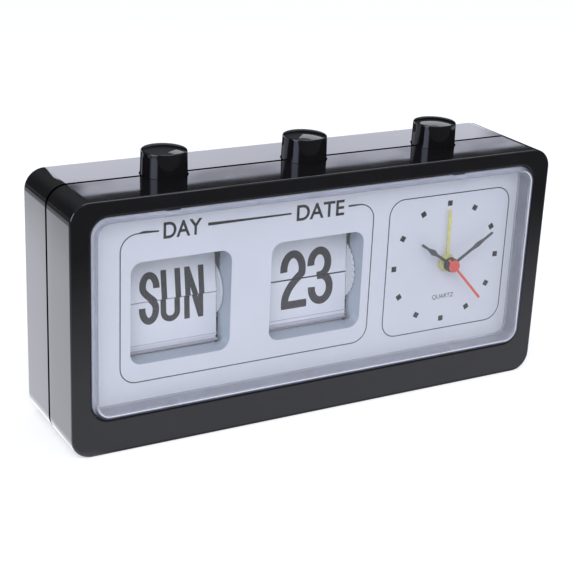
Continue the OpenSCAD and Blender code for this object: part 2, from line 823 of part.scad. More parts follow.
module button_rail() {
    x0 = day_button_x - rail_over;
    x1 = alarm_button_x + rail_over;
    z0 = rail_bottom;
    color(frame_grey) difference() {
        union() {
            block([x0, button_y - rail_half_d, z0], [x1, button_y + rail_half_d, rail_top]);
            for (x = rail_ledge_x)
                block([x - rail_ledge_w / 2, button_y, z0 + touch],
                    [x + rail_ledge_w / 2, rail_back, rail_top]);
        }
        for (x = button_x) translate([x, button_y, z0 - 1]) cylinder(r = stem_r + stem_gap, h = rail_t + 2);
        for (x = rail_ledge_x) translate([x, rail_screw_y, z0 - 1])
            cylinder(r = small_screw_r + 0.1, h = rail_t + 2);
    }
}

module rail_screws() {
    color(steel) for (x = rail_ledge_x) translate([x, rail_screw_y, 0]) difference() {
        union() {
            translate([0, 0, rail_bottom - 2]) cylinder(r = small_screw_r, h = rail_t + 2 + eps);
            translate([0, 0, rail_top]) cylinder(r = small_head_r, h = small_head_t);
        }
        for (a = [0, 90]) translate([0, 0, rail_top + small_head_t]) rotate([0, 0, a])
            cube([1.3 * small_head_r, 0.4, small_head_t], center = true);
    }
}

// Outline of a cap from its axis outwards
module cap_profile() {
    rim = cap_top_r - cap_edge_r;
    dome_r = (rim * rim + cap_dome * cap_dome) / (2 * cap_dome);
    side = cap_h - cap_dome - cap_edge_r;
    polygon([[0, 0], [cap_base_r, 0], [cap_top_r, side], [rim, side + cap_edge_r], [0, side + cap_edge_r]]);
    intersection() {
        translate([rim, side]) circle(cap_edge_r);
        translate([0, side]) square([cap_top_r, cap_edge_r]);
    }
    intersection() {
        translate([0, cap_h - dome_r]) circle(dome_r, $fn = 256);
        translate([0, side]) square([rim, cap_h]);
    }
}

// Button: cap, skirt, flange under the top wall, and stem down to z_end
module button(i, z_end, peg) {
    color(case_black) translate([button_x[i], button_y, 0]) {
        translate([0, 0, case_h]) rotate_extrude() cap_profile();
        translate([0, 0, flange_bottom]) cylinder(r = cap_base_r, h = case_h - flange_bottom + eps);
        translate([0, 0, flange_bottom]) cylinder(r = button_flange_r, h = button_flange_t);
        translate([0, 0, z_end]) cylinder(r = stem_r, h = flange_bottom - z_end + eps);
        if (peg) translate([0, 0, z_end - arm_t]) cylinder(r = peg_r, h = arm_t + eps);
    }
}

// Point of a coil at turn t, with its height h between z0 and z1
function coil_point(r, turns, z0, z1, t) =
    [r * cos(360 * t), r * sin(360 * t), z0 + (z1 - z0) * t / turns];

// Ring of six points around a coil's wire at turn t
function coil_ring(r, turns, z0, z1, t) =
    let (c = coil_point(r, turns, z0, z1, t), out = [cos(360 * t), sin(360 * t), 0])
    [for (a = [0 : 60 : 300]) c + wire_r * (cos(a) * out + sin(a) * [0, 0, 1])];

// Coil spring along Z, one unbroken tube
module coil(r, turns, z0, z1) {
    per_turn = 8;
    rings = turns * per_turn;
    low = z0 + wire_r;
    high = z1 - wire_r;
    points = [for (i = [0 : rings]) each coil_ring(r, turns, low, high, i / per_turn)];
    sides = [for (i = [0 : rings - 1], j = [0 : 5])
        let (a = 6 * i + j, b = 6 * i + (j + 1) % 6)
        each [[a, b, b + 6], [a, b + 6, a + 6]]];
    start = [for (j = [1 : 4]) [0, j + 1, j]];
    last = 6 * rings;
    end = [for (j = [1 : 4]) [last, last + j, last + j + 1]];
    polyhedron(points, concat(sides, start, end));
    middles = [for (i = [0 : rings]) coil_point(r, turns, low, high, i / per_turn)];
    gaps = [for (i = [0 : rings - per_turn]) norm(middles[i + per_turn] - middles[i]) - 2 * wire_r];
    echo(least_gap_between_turns = min(gaps));
}

module button_spring(i) {
    color(steel) translate([button_x[i], button_y, 0])
        coil(spring_r, spring_turns, rail_top + touch, flange_bottom - touch);
}

// Pawl: arm from the stem over the drum to the ratchet, blade in front of it, and a nose above one tooth
module pawl(u) {
    x0 = unit_x[u] + ratchet_x + (ratchet_t - pawl_w) / 2;
    x1 = x0 + pawl_w;
    bx = button_x[u];
    r = ratchet_r(u);
    blade_y = axis_y - r - blade_gap - blade_t;
    nose_z = axis_z + r * sin(first_angle(u)) + nose_gap;
    color(drum_white) difference() {
        union() {
            block([bx - 3, button_y - 3, arm_z], [x1, button_y + 3, arm_z + arm_t]);
            block([x0, blade_y, arm_z], [x1, button_y + 3, arm_z + arm_t]);
            block([x0, blade_y, nose_z], [x1, blade_y + blade_t, arm_z + arm_t]);
            block([x0, blade_y, nose_z], [x1, axis_y - r + nose_in, nose_z + nose_h]);
        }
        translate([bx, button_y, arm_z - 1]) cylinder(r = peg_r + touch, h = arm_t + 2);
    }
}

module axle(u) {
    color(steel) rod_x(unit_x[u] + left_cheek_x, unit_x[u] + right_cheek_x + cheek_t, axle_r);
}

// Flange in the plane across the axle, with its hinge holes and, if toothed, notches in its rim
module flange_outline(u, r, toothed) {
    hole_r = norm([pin_r, leaf_t / 2]) + running;
    difference() {
        circle(r);
        for (k = [0 : notches[u] - 1]) rotate(first_angle(u) + k * step(u)) {
            translate([hinge_r, 0]) circle(hole_r, $fn = 24);
            if (toothed) translate([r, 0]) circle(0.22 * step(u) * PI * r / 180, $fn = 24);
        }
    }
}

// Turns an outline drawn as forward and up into a plate across X
module across(x0, x1) {
    translate([x0, axis_y, axis_z]) rotate([90, 0, 90]) mirror([1, 0, 0]) linear_extrude(x1 - x0) children();
}

module drum(u, toothed) {
    x = unit_x[u];
    color(drum_white) difference() {
        union() {
            rod_x(x + hub_left, x + hub_right, hub_r);
            across(x - flange_x - flange_t, x - flange_x) flange_outline(u, small_flange_r, false);
            across(x + flange_x, x + flange_x + flange_t) flange_outline(u, flange_r[u], toothed);
        }
        rod_x(x + hub_left - 1, x + hub_right + 1, axle_r + running);
    }
}

// Saw-toothed wheel on the drum's hub
module ratchet(u) {
    r = ratchet_r(u);
    n = notches[u];
    a = first_angle(u);
    points = [for (k = [0 : n - 1]) each [
        (r - ratchet_tooth) * [cos(a + k * step(u)), sin(a + k * step(u))],
        r * [cos(a + (k + 1) * step(u)), sin(a + (k + 1) * step(u))]]];
    color(drum_white) across(unit_x[u] + ratchet_x, unit_x[u] + ratchet_x + ratchet_t) difference() {
        polygon(points);
        circle(hub_r + touch);
    }
}

// One leaf standing on its two hinge tabs, in its own frame
module leaf(u) {
    translate([-leaf_span / 2, -leaf_t / 2, -tail(u)]) cube([leaf_span, leaf_t, leaf_l + tail(u)]);
    translate([-tab_reach, -leaf_t / 2, -pin_r]) cube([2 * tab_reach, leaf_t, 2 * pin_r]);
}

// Leaf k of a drum, counted up and back from the standing one
module leaf_at(u, k) {
    a = first_angle(u) + k * step(u);
    translate([unit_x[u], axis_y - hinge_r * cos(a), axis_z + hinge_r * sin(a)])
        rotate([90 - leaf_angle(u, k), 0, 0]) leaf(u);
}

module flap(u) {
    color(leaf_white) leaf_at(u, 0);
}

// Every leaf that hangs in front, and every second one of those still to fall and of those behind the drum
module leaves(u) {
    half = floor(notches[u] / 2);
    low = floor(0.75 * notches[u]);
    waiting = [for (k = [2 : 2 : half - 1]) k];
    hanging = [for (k = [notches[u] - 1 : -1 : low + 1]) k];
    behind = [for (k = [low - 1 : -2 : half + 1]) k];
    color(leaf_white) for (k = concat(waiting, hanging, behind)) leaf_at(u, k);
}

// Flat spring above the ratchet, on the inside of the right cheek
module detent(u) {
    x0 = unit_x[u] + ratchet_x + (ratchet_t - pawl_w) / 2;
    x1 = unit_x[u] + right_cheek_x - touch;
    strip_t = 0.4;
    z = axis_z + ratchet_r(u) + 0.25;
    y0 = dial_back + frame_d - 1;
    color(steel) {
        block([x0, y0, z], [x0 + pawl_w, axis_y + 1, z + strip_t]);
        block([x0, y0, z], [x1, y0 + 2, z + 3]);
    }
}

// Outline of a gear with straight-sided teeth, one tooth centred on the first axis
module gear_outline(teeth, m) {
    pitch = 360 / teeth;
    tip = m * teeth / 2 + 0.8 * m;
    root = m * teeth / 2 - 1.1 * m;
    polygon([for (k = [0 : teeth - 1]) each [
        root * [cos((k - 0.29) * pitch), sin((k - 0.29) * pitch)],
        tip * [cos((k - 0.09) * pitch), sin((k - 0.09) * pitch)],
        tip * [cos((k + 0.09) * pitch), sin((k + 0.09) * pitch)],
        root * [cos((k + 0.29) * pitch), sin((k + 0.29) * pitch)]]]);
}

// Gear at a place of the clock dial, turned by a, between y0 and y0 + layer_t
module gear(at, teeth, m, a, y0) {
    upright(y0, y0 + layer_t) translate([clock_x + at[0], clock_z + at[1]]) rotate(a) gear_outline(teeth, m);
}

// Round arbor at a place of the clock dial
module arbor(at, r, y0, y1) {
    rod_y(clock_x + at[0], clock_z + at[1], r, y0, y1);
}

module movement_square(g) {
    translate([clock_x, clock_z - movement_w / 2 + g]) rounded_rect(movement_w - 2 * g, movement_w - 2 * g, 2);
}

module movement_front() {
    color(drum_white) difference() {
        union() {
            difference() {
                upright(dial_back + touch, movement_mid) movement_square(0);
                upright(inside_front, movement_mid + 1) movement_square(movement_wall);
            }
            // Ears above and below, with a web into the housing
            for (s = [-1, 1]) arbor([0, s * ear_z], ear_r, dial_back + touch, dial_back + movement_wall);
            block([clock_x - ear_r, dial_back + touch, clock_z - ear_z],
                [clock_x + ear_r, dial_back + movement_wall, clock_z + ear_z]);
            arbor([0, 0], bush_r, dial_y + 0.4, dial_back + 1);
            // Posts whose pins carry the bridge
            for (at = bridge_posts) {
                arbor(at, 1.5, inside_front - eps, bridge_y - touch);
                arbor(at, bridge_pin_r, inside_front, bridge_y + bridge_t + 0.3);
            }
        }
        arbor([0, 0], alarm_pipe_r + running, dial_y - 1, movement_mid);
        for (at = [time_at, alarm_at]) arbor(at, arbor_r + running, inside_front - pivot_in, movement_mid);
        for (s = [-1, 1]) arbor([0, s * ear_z], small_screw_r + 0.1, dial_back - 1, movement_mid);
    }
}

module movement_rear() {
    color(drum_white) difference() {
        union() {
            difference() {
                upright(movement_mid + touch, movement_back) movement_square(0);
                upright(movement_mid - 1, inside_back) movement_square(movement_wall);
            }
            // Posts behind the circuit board
            for (x = [-1, 1], z = [-1, 1])
                arbor([x, z] * (movement_w / 2 - board_post_in), board_post_r, board_y + board_t + touch,
                    inside_back + eps);
        }
        arbor([0, 0], second_shaft_r + running, movement_mid, inside_back + pivot_in);
        for (at = [drive_at, rotor_at])
            arbor(at, train_shaft_r + running, movement_mid, inside_back + pivot_in);
        for (at = [time_at, alarm_at]) arbor(at, arbor_r + running, movement_mid, movement_back + 1);
        for (x = lead_end_x) rod_y(x, lead_z, lead_r + 0.1, inside_back - 1, movement_back + 1);
    }
}

module movement_screws() {
    color(steel) for (s = [-1, 1])
        screw_y(clock_x, clock_z + s * ear_z, small_screw_r, small_head_r, small_head_t,
            dial_back - 0.6 * dial_t, dial_back + movement_wall + touch);
}

// Plate between the hands' wheels and the seconds train
module train_bridge() {
    color(brass) difference() {
        upright(bridge_y, bridge_y + bridge_t) translate([clock_x, clock_z - bridge_side / 2])
            rounded_rect(bridge_side, bridge_side, 1.5);
        for (at = bridge_posts) arbor(at, bridge_pin_r + touch, bridge_y - 1, bridge_y + bridge_t + 1);
        arbor([0, 0], second_shaft_r + running, bridge_y - 1, bridge_y + bridge_t + 1);
        for (at = [drive_at, rotor_at])
            arbor(at, train_shaft_r + running, bridge_y - 1, bridge_y + bridge_t + 1);
        for (at = [time_at, alarm_at]) arbor(at, arbor_r + running, bridge_y - 1, bridge_y + bridge_t + 1);
    }
}

module circuit_board() {
    color("darkgreen") difference() {
        upright(board_y, board_y + board_t) translate([clock_x, clock_z - bridge_side / 2])
            rounded_rect(bridge_side, bridge_side, 1.5);
        for (at = [[0, 0], time_at, alarm_at, drive_at, rotor_at])
            arbor(at, board_hole_r, board_y - 1, board_y + board_t + 1);
    }
}

// Stator plate around the rotor with the coil on its far side
module drive_coil() {
    x = clock_x + rotor_at[0];
    z = clock_z + rotor_at[1];
    coil_r = 2;
    coil_gap = 0.4;
    coil_in = 3.2;
    stator_t = 1.4;
    stator_gap = 1;
    stator_h = 7.6;
    limb_w = 4;
    limb_over = 1.5;
    reach_left = 20;
    reach_right = 5;
    y1 = board_y - stator_gap;
    y0 = y1 - stator_t;
    coil_z = clock_z + movement_w / 2 - movement_wall - coil_in;
    coil_y = board_y - coil_gap - coil_r;
    left = x - reach_left;
    right = x + reach_right;
    color(brass) difference() {
        union() {
            block([left, y0, z - stator_h / 2], [right, y1, z + stator_h / 2]);
            for (bx = [left, right - limb_w])
                block([bx, y0, z - stator_h / 2], [bx + limb_w, y1, coil_z + limb_over]);
            translate([left + limb_w / 2, coil_y, coil_z]) rotate([0, 90, 0])
                cylinder(r = coil_r, h = right - left - limb_w);
        }
        rod_y(x, z, magnet_r + rotor_gap, y0 - 1, y1 + 1);
        rod_y(clock_x + drive_at[0], clock_z + drive_at[1], 1, y0 - 1, y1 + 1);
    }
}

module rotor() {
    color(steel) {
        arbor(rotor_at, train_shaft_r, bridge_y + 0.1, inside_back + 0.6);
        arbor(rotor_at, magnet_r, board_y - 2.6, board_y - 0.6);
        gear(rotor_at, rotor_teeth, train_module, rotor_angle + 180 + 180 / rotor_teeth, drive_layer);
    }
}

module drive_wheel() {
    color(drum_white) {
        arbor(drive_at, train_shaft_r, bridge_y + 0.1, inside_back + 0.6);
        gear(drive_at, drive_teeth, train_module, rotor_angle, drive_layer);
        gear(drive_at, drive_pinion, train_module, drive_angle + 180 + 180 / drive_pinion, second_layer);
    }
}

module second_wheel() {
    color(brass) {
        arbor([0, 0], second_shaft_r, second_hand_y - hand_t, inside_back + 0.6);
        gear([0, 0], second_teeth, train_module, drive_angle, second_layer);
    }
}

module minute_wheel() {
    color(brass) difference() {
        union() {
            arbor([0, 0], minute_pipe_r, minute_hand_y - hand_t, minute_layer + layer_t);
            gear([0, 0], cannon_teeth, motion_module, time_angle, minute_layer);
        }
        arbor([0, 0], second_shaft_r + running, dial_y - 10, minute_layer + layer_t + 1);
    }
}

module hour_wheel() {
    color(drum_white) difference() {
        union() {
            arbor([0, 0], hour_pipe_r, hour_hand_y - hand_t, hour_layer + layer_t);
            gear([0, 0], hour_teeth, hour_module, time_angle, hour_layer);
        }
        arbor([0, 0], minute_pipe_r + running, dial_y - 10, hour_layer + layer_t + 1);
    }
}

module alarm_wheel() {
    color(hand_yellow) difference() {
        union() {
            arbor([0, 0], alarm_pipe_r, alarm_hand_y - hand_t, alarm_layer + layer_t);
            gear([0, 0], alarm_teeth, hour_module, alarm_set_angle, alarm_layer);
        }
        arbor([0, 0], hour_pipe_r + running, dial_y - 10, alarm_layer + layer_t + 1);
    }
}

// Setting arbor from the movement's front plate to its knob
module set_arbor(at) {
    arbor(at, arbor_r, inside_front - 0.6, case_d - 2);
}

module time_set_wheel() {
    color(drum_white) {
        set_arbor(time_at);
        gear(time_at, idler_teeth, motion_module, time_angle + 180 + 180 / idler_teeth, minute_layer);
        gear(time_at, idler_pinion, hour_module, time_angle + 180 + 180 / idler_pinion, hour_layer);
    }
}

module alarm_set_pinion() {
    color(drum_white) {
        set_arbor(alarm_at);
        gear(alarm_at, alarm_pinion, hour_module, alarm_set_angle + 180 + 180 / alarm_pinion, alarm_layer);
    }
}

// Fluted knob in its well
module knob(at) {
    flutes = 20;
    x = clock_x + at[0];
    z = clock_z + at[1];
    color(case_black) difference() {
        union() {
            rod_y(x, z, knob_r, well_floor + 0.3, case_d - 0.8);
            rod_y(x, z, knob_r - 1.4, case_d - 0.8 - eps, case_d - 0.3);
        }
        for (k = [0 : flutes - 1]) {
            a = k * 360 / flutes;
            rod_y(x + knob_r * cos(a), z + knob_r * sin(a), 0.45, well_floor, case_d);
        }
        rod_y(x, z, arbor_r + touch, well_floor, case_d - 1.9);
    }
}

// Plate of a hand: outline drawn pointing up from the middle of the dial, turned clockwise by a
module hand_plate(a, y) {
    upright(y - hand_t, y) translate([clock_x, clock_z]) rotate(-a) children();
}

// Slim hand with a lozenge and a rounded tip
module lozenge_outline(l, hub, stem, swell, swell_at) {
    tip = stem * 0.9;
    union() {
        circle(hub);
        polygon([[-stem, 0], [stem, 0], [stem, (swell_at - 0.13) * l], [swell, swell_at * l],
            [tip, (swell_at + 0.16) * l], [tip, l - tip], [-tip, l - tip], [-tip, (swell_at + 0.16) * l],
            [-swell, swell_at * l], [-stem, (swell_at - 0.13) * l]]);
        translate([0, l - tip]) circle(tip, $fn = 24);
    }
}

module hour_hand() {
    color(print_grey) difference() {
        hand_plate(hour_angle, hour_hand_y) lozenge_outline(hour_l, 2.5, 0.5, 1.05, 0.6);
        arbor([0, 0], hour_pipe_r + touch, hour_hand_y - 2, hour_hand_y + 1);
    }
}

module minute_hand() {
    color(print_grey) difference() {
        hand_plate(minute_angle, minute_hand_y) lozenge_outline(minute_l, 2.5, 0.5, 0.9, 0.63);
        arbor([0, 0], minute_pipe_r + touch, minute_hand_y - 2, minute_hand_y + 1);
    }
}

module second_hand() {
    tail_l = 3.6;
    half_w = 0.42;
    boss = 2.15;
    color(hand_red) {
        hand_plate(second_angle, second_hand_y) difference() {
            union() {
                circle(boss);
                translate([-half_w, -tail_l]) square([2 * half_w, tail_l + second_l - half_w]);
                translate([0, second_l - half_w]) circle(half_w, $fn = 24);
            }
            circle(second_shaft_r + touch);
        }
    }
}

module alarm_hand() {
    half_w = 0.52;
    hub = 3.2;
    color(hand_yellow) difference() {
        hand_plate(alarm_angle, alarm_hand_y) {
            circle(hub);
            translate([-half_w, 0]) square([2 * half_w, alarm_l]);
        }
        arbor([0, 0], alarm_pipe_r + touch, alarm_hand_y - 2, alarm_hand_y + 1);
    }
}

// Contact strip under the alarm button's stem, on a block on the movement
module alarm_contact() {
    strip_l = 18;
    foot_l = 5;
    half_w = 1.5;
    x0 = alarm_button_x - 3;
    x1 = x0 + strip_l;
    color(brass) {
        block([x0, button_y - half_w, contact_z], [x1, button_y + half_w, contact_z + contact_t]);
        block([x1 - foot_l, button_y - half_w, movement_top + touch],
            [x1, button_y + half_w, contact_z + contact_t]);
    }
}

module buzzer() {
    color(brass) rod_y(buzzer_at[0], buzzer_at[1], buzzer_r, case_d - wall - buzzer_t, case_d - wall - touch);
}

// Round rod along X at the cell's axis
module cell_rod(r, x0, x1) {
    translate([x0, cell_y, cell_z]) rotate([0, 90, 0]) cylinder(r = r, h = x1 - x0);
}

module battery() {
    color(steel) {
        cell_rod(cell_r, cell_x0, cell_x0 + cell_l);
        cell_rod(cell_button_r, cell_x0 + cell_l - eps, cell_x0 + cell_l + cell_button_l - touch);
    }
}

// Contact plate with its solder tab through the top of the box
module contact_plate(x) {
    half = contact_plate_w / 2;
    block([x + touch, cell_y - half, cell_z - half],
        [x + contact_plate_t - touch, cell_y + half, cell_z + half]);
    block([x + touch, cell_y - tab_w / 2, cell_z],
        [x + contact_plate_t - touch, cell_y + tab_w / 2, box_z + box_h + box_wall + tab_up]);
}

module battery_spring() {
    color(steel) translate([0, cell_y, cell_z]) rotate([0, 90, 0])
        coil(cell_spring_r, cell_spring_turns, box_x0 + contact_plate_t, cell_x0 - touch);
}

module battery_contacts() {
    color(steel) for (x = [box_x0, box_x1 - contact_plate_t]) contact_plate(x);
}

// Leads from the contact tabs to the movement
lead_in = 1.75;
lead_z = clock_z - movement_w / 2 + movement_wall + lead_in;
lead_end_x = [clock_x - movement_w / 2 + 5, clock_x - movement_w / 2 + 9];
tab_top = box_z + box_h + box_wall + tab_up;
lead_gap = 0.4;
lead_lift = 1;
lead_y = [cell_y, cell_y - 2 * lead_r - lead_gap];

// Wire through a list of points
module wire(points) {
    for (i = [0 : len(points) - 2]) {
        d = points[i + 1] - points[i];
        l = norm(d);
        translate(points[i]) rotate([0, acos(d[2] / l), atan2(d[1], d[0])])
            cylinder(r = lead_r, h = l, $fn = 24);
        if (i > 0) translate(points[i]) sphere(lead_r, $fn = 24);
    }
}

module battery_wires() {
    low = tab_top + lead_r + touch;
    high = low + lead_lift;
    inside = inside_back - 0.3;
    tab_x = [box_x1 - contact_plate_t / 2, box_x0 + contact_plate_t / 2];
    color("crimson") wire([[tab_x[0], lead_y[0], low], [lead_end_x[0], lead_y[0], low],
        [lead_end_x[0], lead_y[0], lead_z], [lead_end_x[0], inside, lead_z]]);
    color("dimgray") wire([[tab_x[1], lead_y[1], low], [tab_x[1], lead_y[1], high],
        [lead_end_x[1], lead_y[1], high], [lead_end_x[1], lead_y[1], lead_z], [lead_end_x[1], inside, lead_z]]);
}

module battery_door() {
    e = door_edge - door_gap;
    grip_n = 5;
    color(case_black) difference() {
        union() {
            block([box_x0 - e, case_d - door_t + touch, box_z - e],
                [box_x1 + e, case_d - 0.1, box_z + box_h + e]);
            // Tongues inside the mouth of the box
            for (x = [box_x0 + 6, box_x1 - 14], up = [0, 1]) {
                z0 = up == 1 ? box_z + box_h - door_gap - 1 : box_z + door_gap;
                block([x, case_d - door_t - 1.5, z0], [x + 8, case_d - door_t + 0.5, z0 + 1]);
            }
        }
        for (k = [0 : grip_n - 1]) block([box_x1 - 6 - 2 * k, case_d - 0.6, box_z + 4],
            [box_x1 - 5 - 2 * k, case_d, box_z + box_h - 4]);
    }
}

placed() front_shell();
placed() rear_shell();
placed() case_screws();
placed() lens();
placed() dial_plate();
placed() flip_frame();
placed() frame_screws();
placed() button_rail();
placed() rail_screws();
placed() button(0, arm_z + arm_t, true);  // day_button
placed() button(1, arm_z + arm_t, true);  // date_button
placed() button(2, alarm_stem_z, false);  // alarm_button
placed() button_spring(0);  // day_button_spring
placed() button_spring(1);  // date_button_spring
placed() button_spring(2);  // alarm_button_spring
placed() pawl(DAY);  // day_pawl
placed() pawl(DATE);  // date_pawl
placed() axle(DAY);  // day_axle
placed() axle(DATE);  // date_axle
placed() drum(DAY, false);  // day_drum
placed() drum(DATE, true);  // date_drum
placed() ratchet(DAY);  // day_ratchet
placed() ratchet(DATE);  // date_ratchet
placed() leaves(DAY);  // day_leaves
placed() leaves(DATE);  // date_leaves
placed() flap(DAY);  // day_flap
placed() flap(DATE);  // date_flap
placed() detent(DAY);  // day_detent
placed() detent(DATE);  // date_detent
placed() movement_front();
placed() movement_rear();
placed() movement_screws();
placed() train_bridge();
placed() circuit_board();
placed() drive_coil();
placed() rotor();
placed() drive_wheel();
placed() second_wheel();
placed() minute_wheel();
placed() hour_wheel();
placed() time_set_wheel();
placed() alarm_wheel();
placed() alarm_set_pinion();
placed() hour_hand();
placed() minute_hand();
placed() second_hand();
placed() alarm_hand();
placed() knob(time_at);  // time_set_knob
placed() knob(alarm_at);  // alarm_set_knob
placed() alarm_contact();
placed() buzzer();
placed() battery();
placed() battery_spring();
placed() battery_contacts();
placed() battery_wires();
placed() battery_door();
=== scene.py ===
"""Looks and studio for a desk flip clock: finishes, printed dial, printed leaves and the stage."""

import json
import math

import bmesh
import bpy
from bpy.props import FloatProperty, FloatVectorProperty, IntProperty, PointerProperty, StringProperty
from mathutils import Matrix, Vector


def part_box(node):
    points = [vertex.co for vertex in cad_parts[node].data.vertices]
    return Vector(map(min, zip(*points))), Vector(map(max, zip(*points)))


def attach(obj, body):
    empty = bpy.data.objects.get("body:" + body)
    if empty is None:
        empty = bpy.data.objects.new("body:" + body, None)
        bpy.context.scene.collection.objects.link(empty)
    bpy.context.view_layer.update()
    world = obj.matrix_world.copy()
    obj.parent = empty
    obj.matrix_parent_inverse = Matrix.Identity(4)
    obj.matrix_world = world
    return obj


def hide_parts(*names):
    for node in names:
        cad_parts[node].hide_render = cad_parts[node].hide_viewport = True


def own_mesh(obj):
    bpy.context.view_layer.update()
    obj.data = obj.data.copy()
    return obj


bl_info = {
    "name": "Flip clock looks",
    "version": (1, 0, 0),
    "blender": (4, 5, 0),
    "location": "3D View > Sidebar > Flip clock",
    "description": "Finishes, printing and studio stage for a desk flip clock",
    "category": "Object",
}

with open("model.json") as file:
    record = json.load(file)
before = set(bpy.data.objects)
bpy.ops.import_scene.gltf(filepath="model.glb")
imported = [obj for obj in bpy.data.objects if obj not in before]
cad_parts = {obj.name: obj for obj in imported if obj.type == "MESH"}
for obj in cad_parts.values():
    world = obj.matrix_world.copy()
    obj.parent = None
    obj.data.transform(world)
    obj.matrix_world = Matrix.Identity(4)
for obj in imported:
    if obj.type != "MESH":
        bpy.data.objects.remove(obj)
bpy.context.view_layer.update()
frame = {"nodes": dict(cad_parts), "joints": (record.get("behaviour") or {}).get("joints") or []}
nodes = frame["nodes"]
joints = {joint["name"]: joint for joint in frame["joints"]}


def joint_place(name):
    """Where a hinge sits at rest."""
    return Vector(joints[name]["pos_m"])


MM = 0.001
PRINT_SUNK = 0.01 * MM
PRINT_PROUD = 0.02 * MM
SAME_POINT = 0.0001 * MM
SHARPEST_MITRE = 0.15
MERGE_REACH = 0.001 * MM
EMPTY_FACE = 1e-6 * MM * MM

CLOCK_MIDDLE = joint_place("hour_turn")
DIAL_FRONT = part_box("dial_plate")[0].y
LENS_MIDDLE = sum(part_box("lens"), Vector()) / 2
SEAM = sum(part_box("day_button"), Vector()).y / 2
BACK_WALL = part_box("rear_shell")[1].y

# Printing on the back

ARROW_GAP = 3.2 * MM
SIGN_RADIUS = 1.7 * MM

# Printing on the dial, in millimetres from the middle of the lens: left, right, foot and top of a frame

LEFT_FRAME = (-69.8, 20.6, -24.8, 24.65)
RIGHT_FRAME = (27.0, 76.35, -25.15, 24.35)

# The left frame's top line where it thickens beside the labels, with heights in half line widths

THICK_LINES = (
    ((-63.8, -1), (-57.0, -1.4), (-57.0, 1.4), (-62.2, 3.6), (-63.8, 1)),
    ((-40.4, -2.2), (-10.8, -1.6), (-10.8, 1.6), (-28.0, 2.4), (-40.4, 3.6)),
    ((10.5, -1.8), (16.0, -1), (16.0, 1), (13.0, 1.9), (10.5, 1.9)),
)
THIN_LINE_ENDS = (16.0, -63.8)
LABEL_WEIGHT = 0.018
DRAFT_DEPTH = 0.01
DRAFT_MERGE = 1e-5
HUB_PAINT_RADIUS = 1 * MM

# Printing on the leaves, in millimetres: left edge and width of each letter or figure

FIRST_DAY_CELLS = ((-10.5, 7.0), (-3.0, 6.8), (5.25, 6.8))
NEXT_DAY_CELLS = ((-12.4, 8.6), (-2.5, 7.0), (5.8, 6.8))
DATE_CELLS = ((-9.0, 9.7), (1.3, 9.7))
# Painted shade for the edges of fallen leaves: its lines, its foot band and the gap at their sides
LEAF_EDGE_SHADE_LINE = 0.3 * MM
LEAF_FOOT_SHADE_BAND = 0.9 * MM
LEAF_SIDE_GAP = 0.3 * MM
LEAF_TIP = 0.5 * MM

# The studio

STRIP_Y = BACK_WALL + 15 * MM
FLOOR_REACH = 4.0
FLOOR_DROP = 0.05 * MM
ROOM_RADIUS = 2.0
LAMP_AIM = (0, 0, 0.04)
WHITE = (1, 1, 1, 1)


# Sizes and colours a user would change


class ClockPrint(bpy.types.PropertyGroup):
    """What is printed on the dial and the leaves, and how big."""

    line: FloatProperty(
        name="Frame line",
        description="Width of the printed frame lines",
        default=0.36 * MM,
        unit="LENGTH",
    )
    line_corner: FloatProperty(
        name="Frame corner",
        description="Corner radius of the printed frames",
        default=5.6 * MM,
        unit="LENGTH",
    )
    label_h: FloatProperty(
        name="Label height",
        description="Capital height of the window labels",
        default=5.35 * MM,
        unit="LENGTH",
    )
    mark: FloatProperty(
        name="Hour mark", description="Side of a square hour mark", default=1.9 * MM, unit="LENGTH"
    )
    mark_r: FloatProperty(
        name="Hour ring",
        description="Radius of the ring of hour marks",
        default=21.15 * MM,
        unit="LENGTH",
    )
    mark_count: IntProperty(name="Hour marks", description="Number of marks on the ring", default=12)
    day_now: StringProperty(name="Day", description="Day shown at rest", default="SUN")
    day_next: StringProperty(name="Next day", description="Day shown after a press", default="MON")
    date_now: StringProperty(name="Date", description="Date shown at rest", default="23")
    date_next: StringProperty(name="Next date", description="Date shown after a press", default="24")
    day_stroke: FloatProperty(
        name="Day stroke",
        description="Stroke width of the day's letters",
        default=1.95 * MM,
        unit="LENGTH",
    )
    date_stroke: FloatProperty(
        name="Date stroke",
        description="Stroke width of the date's figures",
        default=2.7 * MM,
        unit="LENGTH",
    )
    back_line: FloatProperty(
        name="Back line",
        description="Width of the lines printed on the back",
        default=0.45 * MM,
        unit="LENGTH",
    )


